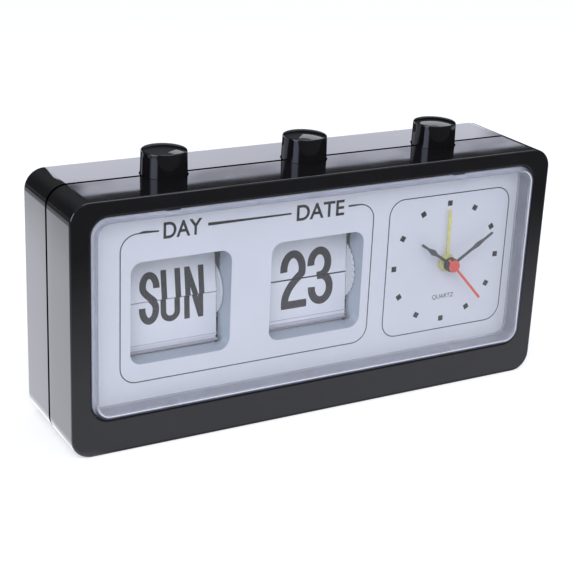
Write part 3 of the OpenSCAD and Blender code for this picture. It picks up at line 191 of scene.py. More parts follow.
class ClockColours(bpy.types.PropertyGroup):
    """Colours of the clock's finishes."""

    case_black: FloatVectorProperty(
        name="Case",
        description="Gloss black of the case",
        default=(0.008, 0.008, 0.0088),
        subtype="COLOR",
    )
    dial_white: FloatVectorProperty(
        name="Dial", description="White of the dial", default=(0.73, 0.745, 0.82), subtype="COLOR"
    )
    # Painted shade: the window walls are the dial's own white plastic, given this blue grey for the shade
    # they lie in
    rim_shade_grey: FloatVectorProperty(
        name="Window rims",
        description="Walls of the dial's windows",
        default=(0.5, 0.57, 0.66),
        subtype="COLOR",
    )
    leaf_white: FloatVectorProperty(
        name="Leaves", description="White of the leaves", default=(0.8, 0.81, 0.87), subtype="COLOR"
    )
    print_grey: FloatVectorProperty(
        name="Leaf print",
        description="Dark grey of the leaves' printing",
        default=(0.035, 0.035, 0.04),
        subtype="COLOR",
    )
    label_grey: FloatVectorProperty(
        name="Dial print",
        description="Near black of the dial's printing",
        default=(0.009, 0.009, 0.012),
        subtype="COLOR",
    )
    back_grey: FloatVectorProperty(
        name="Back print",
        description="Pale grey of the signs on the back",
        default=(0.42, 0.43, 0.45),
        subtype="COLOR",
    )
    hand_grey: FloatVectorProperty(
        name="Hands",
        description="Paint of the hour and minute hands",
        default=(0.06, 0.063, 0.072),
        subtype="COLOR",
    )
    alarm_yellow: FloatVectorProperty(
        name="Alarm hand",
        description="Yellow of the alarm hand",
        default=(0.74, 0.69, 0.24),
        subtype="COLOR",
    )
    second_red: FloatVectorProperty(
        name="Second hand",
        description="Red of the second hand",
        default=(0.72, 0.09, 0.065),
        subtype="COLOR",
    )


class ClockStage(bpy.types.PropertyGroup):
    """Camera and light of the studio."""

    eye: FloatVectorProperty(
        name="Camera",
        description="Place of the camera",
        default=(-0.22779, -0.39148, 0.21181),
        subtype="XYZ",
    )
    azimuth: FloatProperty(
        name="Azimuth",
        description="Turn of the view to the right",
        default=math.radians(29.798),
        subtype="ANGLE",
    )
    drop: FloatProperty(
        name="Drop",
        description="Tilt of the view downwards",
        default=math.radians(20.997),
        subtype="ANGLE",
    )
    roll: FloatProperty(
        name="Roll",
        description="Turn of the picture about its middle",
        default=math.radians(2.622),
        subtype="ANGLE",
    )
    lens: FloatProperty(name="Focal length", description="Focal length in millimetres", default=89.935)
    key: FloatProperty(name="Key lamp", description="Power of the key lamp in watts", default=8.0)
    fill: FloatProperty(name="Fill lamp", description="Power of the fill lamp in watts", default=2.6)
    ambient: FloatProperty(name="Ambient", description="Level of the light from all round", default=0.44)
    tint: FloatVectorProperty(
        name="Light",
        description="Cool tint of the studio's light",
        default=(0.955, 0.98, 1.06),
        subtype="COLOR",
        max=2.0,
    )


# Shader sums


class Wire:
    """A shader socket that stands in a sum as a number does."""

    def __init__(self, finish, socket):
        self.finish = finish
        self.socket = socket

    def __add__(self, other):
        return self.finish.maths("ADD", self, other)

    def __radd__(self, other):
        return self.finish.maths("ADD", other, self)

    def __sub__(self, other):
        return self.finish.maths("SUBTRACT", self, other)

    def __rsub__(self, other):
        return self.finish.maths("SUBTRACT", other, self)

    def __mul__(self, other):
        return self.finish.maths("MULTIPLY", self, other)

    def __rmul__(self, other):
        return self.finish.maths("MULTIPLY", other, self)

    def most(self, other):
        return self.finish.maths("MAXIMUM", self, other)

    def rise(self, low, high, start=0.0, end=1.0):
        """A smooth rise from start at low to end at high."""
        return self.finish.node(
            "MapRange",
            {"interpolation_type": "SMOOTHSTEP"},
            {"Value": self, "From Min": low, "From Max": high, "To Min": start, "To Max": end},
        )


class Finish:
    """A node tree that is filled node by node."""

    def __init__(self, tree, material=None):
        self.tree = tree
        self.material = material
        self.tree.nodes.clear()

    def plug(self, socket, value):
        if isinstance(value, Wire):
            self.tree.links.new(value.socket, socket)
        else:
            socket.default_value = value

    def node(self, kind, settings=None, inputs=None, output=0):
        """Adds one node: its settings first, then the values or links of its sockets."""
        made = self.tree.nodes.new("ShaderNode" + kind)
        for key, value in (settings or {}).items():
            setattr(made, key, value)
        for key, value in (inputs or {}).items():
            self.plug(made.inputs[key], value)
        return Wire(self, made.outputs[output])

    def maths(self, operation, *terms):
        return self.node("Math", {"operation": operation}, dict(enumerate(terms)))

    def mix(self, factor, first, second):
        return self.node("Mix", {"data_type": "RGBA"}, {0: factor, 6: first, 7: second}, output=2)

    def place(self):
        return self.node("TexCoord", output="Object")

    def along(self, letter):
        return self.node("SeparateXYZ", inputs={0: self.place()}, output=letter)

    def noise(self, scale, detail=2.0, stretch=(1.0, 1.0, 1.0)):
        moved = self.node("Mapping", inputs={"Vector": self.place(), "Scale": stretch})
        return self.node("TexNoise", inputs={"Vector": moved, "Scale": scale, "Detail": detail})

    def bump(self, height, depth):
        return self.node("Bump", inputs={"Height": height, "Distance": depth}, output="Normal")

    def edges(self, width):
        """Rises from 0 on a flat face to 1 on a sharp edge."""
        rounded = self.node("Bevel", {"samples": 4}, {"Radius": width})
        flat = self.node("NewGeometry", output="Normal")
        along = self.node("VectorMath", {"operation": "DOT_PRODUCT"}, {0: rounded, 1: flat}, output="Value")
        return (1 - along).rise(0.01, 0.16)

    def ray(self, kind):
        return self.node("LightPath", output="Is " + kind + " Ray")

    def background_rays(self):
        """Rays that see the bare floor and the world, straight or in gloss or glass."""
        return self.ray("Camera").most(self.ray("Glossy")).most(self.ray("Transmission"))

    def matt(self, colour):
        return self.node("BsdfDiffuse", inputs={"Color": colour})

    def emit(self, colour, strength):
        return self.node("Emission", inputs={"Color": colour, "Strength": strength})

    def layer(self, cover, under, over):
        """One shader over another, as far as the cover goes."""
        return self.node("MixShader", inputs={0: cover, 1: under, 2: over})

    def principled(self, **inputs):
        spaced = {key.replace("_", " "): value for key, value in inputs.items()}
        return self.node("BsdfPrincipled", inputs=spaced)

    def end(self, shader, kind="OutputMaterial"):
        """Closes the tree and gives its material."""
        made = self.tree.nodes.new("ShaderNode" + kind)
        self.tree.links.new(shader.socket, made.inputs["Surface"])
        return self.material

    def skin(self, **inputs):
        """Closes the tree with one principled surface."""
        return self.end(self.principled(**inputs))


def new_finish(name):
    material = bpy.data.materials.new(name)
    material.use_nodes = True
    return Finish(material.node_tree, material)


def tone(colour, level=1.0):
    """A colour with its alpha, made lighter or darker."""
    return (*(channel * level for channel in colour[:3]), 1.0)


def seam_groove_shade(f):
    """The groove where the two shells meet, which is given painted shade."""
    return 1 - f.maths("ABSOLUTE", f.along("Y") - SEAM).rise(0.68 * MM, 0.79 * MM)


def turned_away(f):
    """What is seen at a slant, where the buttons are given painted shade that hides their gloss."""
    return f.node("LayerWeight", inputs={"Blend": 0.5}, output="Facing").rise(0.64, 0.76, 0.0, 0.92)


def gloss_plastic(name, colour, rough, painted_shade_part):
    """Polished moulded plastic with a faint wave, hazy patches, a little dust and painted shade: flat
    near-black matt over one part, which hides its gloss there.
    """
    f = new_finish(name)
    patches = f.noise(70.0, 3.0).rise(0.4, 0.75)
    specks = f.noise(2600.0, 1.0).rise(0.74, 0.8)
    wave = f.noise(55.0, 1.0)
    base = f.mix(patches, tone(colour), tone(colour, 1.25))
    dusty = f.mix(specks * 0.35, base, (0.08, 0.08, 0.085, 1.0))
    rubbed = f.edges(0.5 * MM) * f.noise(420.0, 3.0).rise(0.42, 0.66)
    shine = f.principled(
        Base_Color=f.mix(rubbed, dusty, (0.03, 0.03, 0.032, 1.0)),
        Roughness=rough + patches * 0.03 + specks * 0.2 + rubbed * 0.16,
        IOR=1.5,
        Normal=f.bump(wave, 0.02 * MM),
    )
    # Painted shade: near-black matt laid over the part that the mask picks
    painted_shade = f.matt((0.002, 0.002, 0.0022, 1.0))
    return f.end(f.layer(painted_shade_part(f), shine, painted_shade))


def satin_plastic(name, colour, rough=0.42, grain=1500.0, depth=0.012 * MM, blotch=0.06):
    """Moulded plastic with a fine etched grain and slow changes of tone."""
    f = new_finish(name)
    slow = f.noise(45.0, 2.0).rise(0.3, 0.7)
    fine = f.noise(grain, 2.0)
    return f.skin(
        Base_Color=f.mix(slow, tone(colour, 1.0 - blotch), tone(colour, 1.0 + blotch)),
        Roughness=rough + fine * 0.12 - 0.06,
        IOR=1.48,
        Normal=f.bump(fine, depth),
    )


def brushed_metal(name, colour, rough=0.28, stretch=(1.0, 1.0, 30.0), tarnish=0.25):
    """Drawn or brushed metal: fine lines one way and a darker bloom in places."""
    f = new_finish(name)
    lines = f.noise(420.0, 3.0, stretch)
    bloom = f.noise(160.0, 3.0).rise(0.45, 0.8)
    return f.skin(
        Base_Color=f.mix(bloom * tarnish, tone(colour), tone(colour, 0.45)),
        Metallic=1.0,
        Roughness=rough + lines * 0.16 + bloom * 0.1,
        Normal=f.bump(lines, 0.008 * MM),
    )


def hand_paint(name, colour):
    """Thin matt paint on stamped metal, a little uneven and with pinholes."""
    f = new_finish(name)
    uneven = f.noise(900.0, 3.0).rise(0.3, 0.75)
    peel = f.noise(3800.0, 1.0)
    return f.skin(
        Base_Color=f.mix(uneven, tone(colour, 0.9), tone(colour, 1.1)),
        Roughness=0.46 + uneven * 0.14,
        IOR=1.47,
        Normal=f.bump(peel, 0.008 * MM),
    )


def print_ink(name, colour):
    """Screen-printed ink: flat and dark, with slight thin spots."""
    f = new_finish(name)
    thin = f.noise(2200.0, 2.0).rise(0.5, 0.85)
    return f.skin(
        Base_Color=f.mix(thin, tone(colour), tone(colour, 1.35)),
        Roughness=0.5 + thin * 0.15,
        IOR=1.45,
        Specular_IOR_Level=0.2,
    )


def clear_lens(name):
    """Clear moulded styrene that lets lamplight through, with painted light at its edge: a painted glow all
    round, and a painted highlight line with a band of painted shade outside it along the front of its lower
    and right edges.
    """
    low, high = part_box("lens")
    corner = 5.4 * MM
    f = new_finish(name)
    beyond = []
    for letter in "XZ":
        middle = getattr(LENS_MIDDLE, letter.lower())
        half = getattr(high, letter.lower()) - middle
        beyond.append((f.maths("ABSOLUTE", f.along(letter) - middle) - (half - corner)).most(0.0))
    reach = f.maths("SQRT", beyond[0] * beyond[0] + beyond[1] * beyond[1])

    def towards_edge(start, end):
        """Rises between two places, each in millimetres in from the lens's outer edge."""
        return reach.rise(corner - start * MM, corner - end * MM)

    # Painted glow along the edge, broken up by a cloud
    cloud = f.noise(90.0, 3.0).rise(0.3, 0.7, 0.75, 1.0)
    edge = towards_edge(1.7, 0.7) * cloud * 0.62
    # The front of the lower and right edges gets a painted highlight line and painted shade
    lower = 1 - f.along("Z").rise(low.z + 2 * MM, low.z + 7 * MM)
    right = f.along("X").rise(high.x - 7 * MM, high.x - 2 * MM)
    front = 1 - f.along("Y").rise(low.y + 0.45 * MM, low.y + 0.7 * MM)
    turned = lower.most(right) * front
    # Painted highlight: a thin white line a little in from the edge; outside it a band of painted shade
    line = towards_edge(1.35, 1.15) * (1 - towards_edge(1.0, 0.85))
    shade_band = towards_edge(0.8, 0.58)
    haze = f.noise(120.0, 2.0).rise(0.55, 0.9)
    glass = f.principled(
        Base_Color=(0.985, 0.99, 1.0, 1.0), Roughness=haze * 0.012, IOR=1.49, Transmission_Weight=1.0
    )
    clear = f.node("BsdfTransparent", inputs={"Color": (0.98, 0.985, 0.99, 1.0)})
    # A translucent and a matt lavender shader give the painted glow
    edge_glow_translucent = f.node("BsdfTranslucent", inputs={"Color": (0.8, 0.82, 0.93, 1.0)})
    glow = f.layer(0.5, edge_glow_translucent, f.matt((0.7, 0.72, 0.86, 1.0)))
    body = f.layer(edge, glass, glow)
    body = f.layer(line * turned * 0.85, body, f.matt((0.98, 0.985, 1.0, 1.0)))
    body = f.layer(shade_band * turned * 0.85, body, f.matt((0.012, 0.013, 0.026, 1.0)))
    through = f.ray("Shadow").most(f.ray("Diffuse"))
    return f.end(f.layer(through, body, clear))


def dial_plastic(name, white, rim):
    """White satin dial whose window walls, behind the front face, carry painted shade: blue grey, darker
    still towards the sill.
    """
    f = new_finish(name)
    behind = f.along("Y").rise(DIAL_FRONT + 0.15 * MM, DIAL_FRONT + 0.5 * MM)
    slow = f.noise(35.0, 2.0).rise(0.3, 0.7)
    fine = f.noise(1900.0, 2.0)
    face = f.mix(slow, tone(white, 0.985), tone(white, 1.015))
    # Painted shade on the window walls, darker towards the sill at their foot
    sill_shade = 1 - f.along("Z").rise(LENS_MIDDLE.z - 18.5 * MM, LENS_MIDDLE.z - 16 * MM)
    wall_shade = f.mix(sill_shade, tone(rim), tone(rim, 0.76))
    return f.skin(
        Base_Color=f.mix(behind, face, wall_shade),
        Roughness=0.44 + fine * 0.1 - behind * 0.12,
        IOR=1.46,
        Normal=f.bump(fine, 0.006 * MM),
    )


def leaf_sheet(name, white):
    """Thin matt sheet with a faint pearl grain and handled patches."""
    f = new_finish(name)
    slow = f.noise(60.0, 3.0).rise(0.35, 0.75)
    fine = f.noise(2600.0, 2.0)
    return f.skin(
        Base_Color=f.mix(slow, tone(white, 1.01), tone(white, 0.975)),
        Roughness=0.5 + fine * 0.12,
        IOR=1.45,
        Normal=f.bump(fine, 0.005 * MM),
    )


def board_laminate(name):
    """Green laminate with copper tracks under the mask and a fine weave."""
    f = new_finish(name)
    spots = f.node(
        "TexVoronoi",
        {"feature": "DISTANCE_TO_EDGE"},
        {"Vector": f.place(), "Scale": 420.0},
        output="Distance",
    )
    track = 1 - spots.rise(0.05, 0.09)
    weave = f.noise(1800.0, 1.0, (1.0, 1.0, 4.0))
    return f.skin(
        Base_Color=f.mix(track * 0.7, (0.012, 0.11, 0.035, 1.0), (0.03, 0.2, 0.06, 1.0)),
        Roughness=0.3 + weave * 0.15,
        Normal=f.bump(track + weave * 0.3, 0.02 * MM),
    )


def wound_copper(name):
    """Lacquered copper wire in close turns along X."""
    f = new_finish(name)
    turns = f.node(
        "TexWave",
        {"wave_type": "BANDS", "bands_direction": "X", "wave_profile": "SIN"},
        {"Vector": f.place(), "Scale": 1600.0, "Distortion": 0.4},
        output="Fac",
    )
    return f.skin(
        Base_Color=f.mix(turns, (0.2, 0.06, 0.02, 1.0), (0.62, 0.26, 0.1, 1.0)),
        Metallic=0.85,
        Roughness=0.24 + turns * 0.14,
        Normal=f.bump(turns, 0.04 * MM),
    )


def cell_sleeve(name):
    """Dark printed sleeve with a plain pale band and bare steel at the ends."""
    low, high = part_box("battery")
    f = new_finish(name)
    x = f.along("X")
    band = x.rise(low.x + 12 * MM, low.x + 12.4 * MM) - x.rise(low.x + 17 * MM, low.x + 17.4 * MM)
    bare = 1 - x.rise(low.x + 1.0 * MM, low.x + 1.2 * MM) + x.rise(high.x - 2.2 * MM, high.x - 2.0 * MM)
    scuff = f.noise(800.0, 3.0, (4.0, 1.0, 1.0)).rise(0.55, 0.8)
    sleeve = f.mix(band, (0.03, 0.032, 0.04, 1.0), (0.42, 0.3, 0.12, 1.0))
    return f.skin(
        Base_Color=f.mix(bare, sleeve, (0.62, 0.61, 0.6, 1.0)),
        Metallic=bare,
        Roughness=0.26 + scuff * 0.2,
    )


def dress(material, *names):
    """Gives CAD nodes a finish, in their material slots only."""
    for name in names:
        body = nodes[name]
        if not body.material_slots:
            body.data.materials.append(None)
        for place in body.material_slots:
            place.material = material


def put(name, data):
    """Sets a new object into the scene."""
    made = bpy.data.objects.new(name, data)
    bpy.context.scene.collection.objects.link(made)
    return made


# Flat print shapes, drawn with x to the right and z up


def arc(middle, radius_x, radius_z, start, end, count=18):
    """Points on an ellipse between two angles in degrees."""
    return [
        (
            middle[0] + radius_x * math.cos(math.radians(start + (end - start) * i / count)),
            middle[1] + radius_z * math.sin(math.radians(start + (end - start) * i / count)),
        )
        for i in range(count + 1)
    ]


def bend(a, b, c, d, count=18):
    """Points on a cubic curve."""
    points = []
    for i in range(count + 1):
        t = i / count
        u = 1 - t
        weights = (u * u * u, 3 * u * u * t, 3 * u * t * t, t * t * t)
        points.append(tuple(sum(w * p[k] for w, p in zip(weights, (a, b, c, d))) for k in (0, 1)))
    return points


def joined(*runs):
    """One path from several runs, without doubled points."""
    path = []
    for run in runs:
        for point in run:
            if not path or math.dist(path[-1], point) > SAME_POINT:
                path.append(point)
    return path


def add_stroke(mesh, path, width, closed=False):
    """Adds a line of even width with mitred corners as a strip of faces."""
    if closed and math.dist(path[0], path[-1]) < SAME_POINT:
        path = path[:-1]
    count = len(path)
    sides = []
    for i, (x, z) in enumerate(path):
        before = path[i - 1] if closed or i else None
        after = path[(i + 1) % count] if closed or i < count - 1 else None
        ways = []
        for a, b in ((before, (x, z)), ((x, z), after)):
            if a and b:
                length = math.dist(a, b)
                ways.append(((b[0] - a[0]) / length, (b[1] - a[1]) / length))
        normal = Vector((-sum(w[1] for w in ways), sum(w[0] for w in ways))).normalized()
        reach = width / 2 / max(SHARPEST_MITRE, normal.dot(Vector((-ways[0][1], ways[0][0]))))
        sides.append(
            (
                mesh.verts.new((x + normal.x * reach, 0, z + normal.y * reach)),
                mesh.verts.new((x - normal.x * reach, 0, z - normal.y * reach)),
            )
        )
    last = count if closed else count - 1
    for i in range(last):
        (a, b), (c, d) = sides[i], sides[(i + 1) % count]
        mesh.faces.new((a, b, d, c))


def add_plate(mesh, points):
    mesh.faces.new([mesh.verts.new((x, 0, z)) for x, z in points])


def cut(mesh, height, keep_above):
    """Cuts a flat shape level at a height and drops one side."""
    bmesh.ops.bisect_plane(
        mesh,
        geom=mesh.verts[:] + mesh.edges[:] + mesh.faces[:],
        plane_co=(0, 0, height),
        plane_no=(0, 0, 1),
        clear_inner=keep_above,
        clear_outer=not keep_above,
    )


def take_in(mesh, part):
    """Adds a part's faces to a mesh and uses the part up."""
    scrap = bpy.data.meshes.new("scrap")
    part.to_mesh(scrap)
    part.free()
    mesh.from_mesh(scrap)
    bpy.data.meshes.remove(scrap)


def thickened(mesh):
    """Gives a flat shape its print thickness, sunk a little into what carries it."""
    bmesh.ops.remove_doubles(mesh, verts=mesh.verts[:], dist=MERGE_REACH)
    empty = [face for face in mesh.faces if face.calc_area() < EMPTY_FACE]
    bmesh.ops.delete(mesh, geom=empty, context="FACES")
    made = bmesh.ops.extrude_face_region(mesh, geom=mesh.faces[:], use_keep_orig=True)
    for item in made["geom"]:
        if isinstance(item, bmesh.types.BMVert):
            item.co.y -= PRINT_PROUD + PRINT_SUNK
    bmesh.ops.translate(mesh, verts=mesh.verts[:], vec=(0, PRINT_SUNK, 0))
    bmesh.ops.recalc_face_normals(mesh, faces=mesh.faces[:])


def finish_piece(name, mesh, place, material, body):
    """Turns a shape into a piece that rides on a body."""
    mesh.transform(place)
    data = bpy.data.meshes.new(name)
    mesh.to_mesh(data)
    mesh.free()
    data.materials.append(material)
    piece = put(name, data)
    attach(piece, body)
    return piece


# Letters and figures, each w wide and h high with strokes t thick, its lower left corner at 0, 0


def letter_s(w, h, t):
    rx = (w - t) / 2
    upper = arc((w / 2, h - t / 2 - 0.22 * h), rx, 0.22 * h, -8, 180)
    lower = arc((w / 2, t / 2 + 0.23 * h), rx, 0.23 * h, 0, -188)
    spine = bend(upper[-1], (upper[-1][0], 0.55 * h), (lower[0][0], 0.48 * h), lower[0])
    return [(joined(upper, spine, lower), False)]


def letter_u(w, h, t):
    rx = (w - t) / 2
    bowl = arc((w / 2, t / 2 + rx), rx, rx, 180, 360)
    return [(joined([(t / 2, h)], bowl, [(w - t / 2, h)]), False)]


def letter_n(w, h, t):
    return [([(t / 2, -t), (t / 2, h - t * 0.2), (w - t / 2, t * 0.2), (w - t / 2, h + t)], False)]


def letter_m(w, h, t):
    top = h - t * 0.2
    return [([(t / 2, -t), (t / 2, top), (w / 2, 0.22 * h), (w - t / 2, top), (w - t / 2, -t)], False)]


def letter_o(w, h, t):
    rx = (w - t) / 2
    top = arc((w / 2, h - t / 2 - rx * 1.1), rx, rx * 1.1, 0, 180)
    foot = arc((w / 2, t / 2 + rx * 1.1), rx, rx * 1.1, 180, 360)
    return [(joined(top, foot, [top[0]]), True)]


def figure_2(w, h, t):
    rx = (w - t) / 2
    top = arc((w / 2 - 0.01 * w, h - t / 2 - 0.26 * h), rx, 0.26 * h, 188, -18, 26)
    foot = bend(top[-1], (top[-1][0] - 0.06 * w, 0.56 * h), (t * 0.52, 0.37 * h), (t * 0.5, t * 0.8))
    return [(joined(top, foot, [(t * 0.5, 0)]), False, t), ([(0, t * 0.5), (w, t * 0.5)], False)]


def figure_3(w, h, t):
    rx = (w - t) / 2
    middle = 0.505 * h
    upper_r = (h - t / 2 - middle) / 2
    lower_r = (middle - t / 2) / 2
    upper = arc((w / 2 - 0.03 * w, middle + upper_r), rx * 0.94, upper_r, 188, -90, 30)
    lower = arc((w / 2, middle - lower_r), rx, lower_r, 90, -188, 30)
    arm = (w * 0.36, middle)
    return [(joined(upper, [arm]), False), (joined([arm], lower), False)]


def figure_4(w, h, t):
    stem = w - t * 1.15
    bar = 0.27 * h
    return [
        ([(stem, -t), (stem, h + t)], False),
        ([(stem + t / 2, bar), (w, bar)], False),
        ([(stem - t / 2, bar), (t * 0.5, bar), (stem - t / 2, h + t * 0.3)], False),
    ]


LETTERS = {
    "S": letter_s,
    "U": letter_u,
    "N": letter_n,
    "M": letter_m,
    "O": letter_o,
    "2": figure_2,
    "3": figure_3,
    "4": figure_4,
}
HEAVIER = {"S": 1.16}


def half_word(cells, upper, height, below, stroke, gap):
    """One half of a word, with the split at z = 0 and the word reaching below it."""
    whole = bmesh.new()
    for letter, left, width in cells:
        part = bmesh.new()
        weight = stroke * HEAVIER.get(letter, 1.0)
        strokes = LETTERS[letter](width, height, weight)
        if letter == "3":
            strokes = strokes[:1] if upper else strokes[1:]
        for path, closed, *foot in strokes:
            line = bmesh.new()
            add_stroke(line, path, weight, closed)
            cut(line, foot[0] if foot else 0, True)
            cut(line, height, False)
            take_in(part, line)
        bmesh.ops.translate(part, verts=part.verts[:], vec=(left, 0, -below))
        cut(part, gap / 2 if upper else -gap / 2, upper)
        take_in(whole, part)
    thickened(whole)
    return whole


def leaf_place(flap, pin, axis):
    """A standing leaf: the middle of its split, the ways up and out of it, and its half thickness."""
    points = [vert.co.copy() for vert in nodes[flap].data.vertices]
    top = max(p.z for p in points)
    tips = [p for p in points if p.z > top - LEAF_TIP]
    tip = sum(tips, Vector()) / len(tips)
    up = Vector((0, tip.y - pin.y, tip.z - pin.z)).normalized()
    out = Vector((0, -up.z, up.y))
    half = max(abs((p - pin).dot(out)) for p in points)
    start = pin - up * (pin.z - axis.z)
    start.x = pin.x
    return start, up, out, half


def face_matrix(start, up, out, lift):
    """Matrix that lays a flat shape on a face: x across, z up the face, front along out."""
    turn = Matrix(((1, 0, 0), -out, up)).transposed()
    return Matrix.Translation(start + out * lift) @ turn.to_4x4()


def spin_about(axis, angle):
    """Turn about a drum's axis."""
    return Matrix.Translation(axis) @ Matrix.Rotation(angle, 4, "X") @ Matrix.Translation(-axis)


# Operators


class CLOCK_OT_case(bpy.types.Operator):
    """Finish the case, its door, the buttons and the knobs"""

    bl_idname = "flip_clock.case"
    bl_label = "Case and controls"

    def execute(self, context):
        colours = context.scene.clock_colours
        black = gloss_plastic("case_gloss_black", colours.case_black, 0.06, seam_groove_shade)
        dress(black, "front_shell", "rear_shell", "battery_door")
        # Painted shade over the buttons' slanting parts hides their reflections there
        cap = gloss_plastic("button_gloss_black", colours.case_black, 0.04, turned_away)
        dress(cap, "day_button", "date_button", "alarm_button")
        knob = satin_plastic("knob_satin_black", (0.02, 0.02, 0.021), 0.4)
        dress(knob, "time_set_knob", "alarm_set_knob")
        return {"FINISHED"}


class CLOCK_OT_back(bpy.types.Operator):
    """Print turning arrows and plain signs by the knobs"""

    bl_idname = "flip_clock.back"
    bl_label = "Back print"

    def turning_arrow(self, radius, width):
        """A bent arrow over a knob, with a head at each end."""
        mesh = bmesh.new()
        start, end = 125, 55
        add_stroke(mesh, arc((0, 0), radius, radius, start, end), width)
        for angle, way in ((math.radians(start), 1), (math.radians(end), -1)):
            reach = Vector((math.cos(angle), math.sin(angle)))
            onward = Vector((-reach.y, reach.x)) * way
            foot = reach * radius
            side = reach * width * 1.8
            add_plate(mesh, [foot + side, foot - side, foot + onward * width * 3.6])
        return mesh

    def clock_sign(self, radius, width):
        """A ring with two hands, hung from 0, 0."""
        mesh = bmesh.new()
        low = -radius
        add_stroke(mesh, arc((0, low), radius, radius, 0, 360, 24), width, True)
        add_stroke(mesh, [(0, low + radius * 0.62), (0, low), (radius * 0.5, low)], width * 0.8)
        return mesh

    def bell_sign(self, radius):
        """A bell with its clapper, hung from 0, 0."""
        mesh = bmesh.new()
        low = -2 * radius
        rim = (radius, low + 0.4 * radius)
        waist = (0.6 * radius, low + 0.7 * radius)
        side = bend(rim, waist, (0.8 * radius, 0), (0, 0), 10)
        other = [(-x, z) for x, z in reversed(side[:-1])]
        add_plate(mesh, joined(side, other))
        add_plate(mesh, arc((0, low + 0.25 * radius), 0.3 * radius, 0.25 * radius, 180, 360, 8))
        return mesh

    def execute(self, context):
        width = context.scene.clock_print.back_line
        ink = print_ink("back_ink", context.scene.clock_colours.back_grey)
        half_turn = Matrix.Rotation(math.pi, 4, "Z")
        signs = {
            "time_set": self.clock_sign(SIGN_RADIUS, width),
            "alarm_set": self.bell_sign(SIGN_RADIUS),
        }
        for knob, sign in signs.items():
            low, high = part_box(knob + "_knob")
            middle = joint_place(knob + "_turn")
            radius = (high.z - low.z) / 2 + ARROW_GAP
            arrow = self.turning_arrow(radius, width)
            for ending, mesh, z in (("_arrow", arrow, middle.z), ("_sign", sign, middle.z - radius)):
                thickened(mesh)
                place = Matrix.Translation((middle.x, BACK_WALL, z)) @ half_turn
                finish_piece(knob + ending, mesh, place, ink, "case")
        return {"FINISHED"}


class CLOCK_OT_lens(bpy.types.Operator):
    """Finish the clear lens"""

    bl_idname = "flip_clock.lens"
    bl_label = "Lens"

    def execute(self, context):
        dress(clear_lens("lens_clear"), "lens")
        return {"FINISHED"}


class CLOCK_OT_works(bpy.types.Operator):
    """Finish the drums, frame, movement and hands"""

    bl_idname = "flip_clock.works"
    bl_label = "Works"

    def return_spring(self, unit, material):
        """A copy of a button's return spring (which on the real clock gets shorter as the button goes
        down), riding on the case.
        """
        node = unit + "_button_spring"
        mesh = bmesh.new()
        mesh.from_mesh(nodes[node].data)
        bmesh.ops.remove_doubles(mesh, verts=mesh.verts[:], dist=MERGE_REACH)
        place = nodes[node].matrix_world
        piece = finish_piece(unit + "_return_spring", mesh, place, material, "case")
        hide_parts(node)
        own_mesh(piece)

    def hub_paint(self, red):
        """A spot of paint over the middle of the second hand."""
        mesh = bmesh.new()
        add_plate(mesh, arc((0, 0), HUB_PAINT_RADIUS, HUB_PAINT_RADIUS, 0, 345, 23))
        thickened(mesh)
        hub = joint_place("second_turn")
        hub.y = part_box("second_hand")[0].y
        finish_piece("second_hub_paint", mesh, Matrix.Translation(hub), red, "second_train")

    def execute(self, context):
        colours = context.scene.clock_colours
        leaf = leaf_sheet("leaf_white", colours.leaf_white)
        drum = satin_plastic("drum_white", (0.74, 0.77, 0.8), 0.36)
        steel = brushed_metal("steel", (0.6, 0.6, 0.61))
        axle = brushed_metal("axle_steel", (0.58, 0.58, 0.6), 0.22, (30.0, 1.0, 1.0))
        for unit in ("day", "date"):
            dress(leaf, unit + "_leaves", unit + "_flap")
            dress(drum, unit + "_drum", unit + "_ratchet", unit + "_pawl")
            dress(steel, unit + "_detent")
            dress(axle, unit + "_axle")
        for unit in ("day", "date", "alarm"):
            dress(steel, unit + "_button_spring")
            self.return_spring(unit, steel)
        dress(steel, "case_screws", "frame_screws", "rail_screws", "movement_screws")
        dress(steel, "battery_spring", "battery_contacts", "rotor")
        dress(satin_plastic("frame_grey", (0.62, 0.65, 0.73), 0.4), "flip_frame", "button_rail")
        movement = satin_plastic("movement_grey", (0.6, 0.62, 0.64), 0.38)
        dress(movement, "movement_front", "movement_rear", "hour_wheel")
        dress(movement, "time_set_wheel", "alarm_set_pinion", "drive_wheel")
        brass = brushed_metal("brass", (0.68, 0.5, 0.2), 0.24, (1.0, 1.0, 1.0), 0.35)
        dress(brass, "second_wheel", "minute_wheel", "train_bridge", "alarm_contact", "buzzer")
        dress(hand_paint("alarm_paint", colours.alarm_yellow), "alarm_wheel", "alarm_hand")
        dress(hand_paint("hand_paint", colours.hand_grey), "hour_hand", "minute_hand")
        red = hand_paint("second_paint", colours.second_red)
        dress(red, "second_hand")
        self.hub_paint(red)
        dress(board_laminate("board_green"), "circuit_board")
        dress(wound_copper("coil_copper"), "drive_coil")
        dress(cell_sleeve("cell_sleeve"), "battery")
        wire = satin_plastic("wire_dark", (0.05, 0.05, 0.055), 0.5, 1200.0, 0.01 * MM, 0.12)
        dress(wire, "battery_wires")
        return {"FINISHED"}


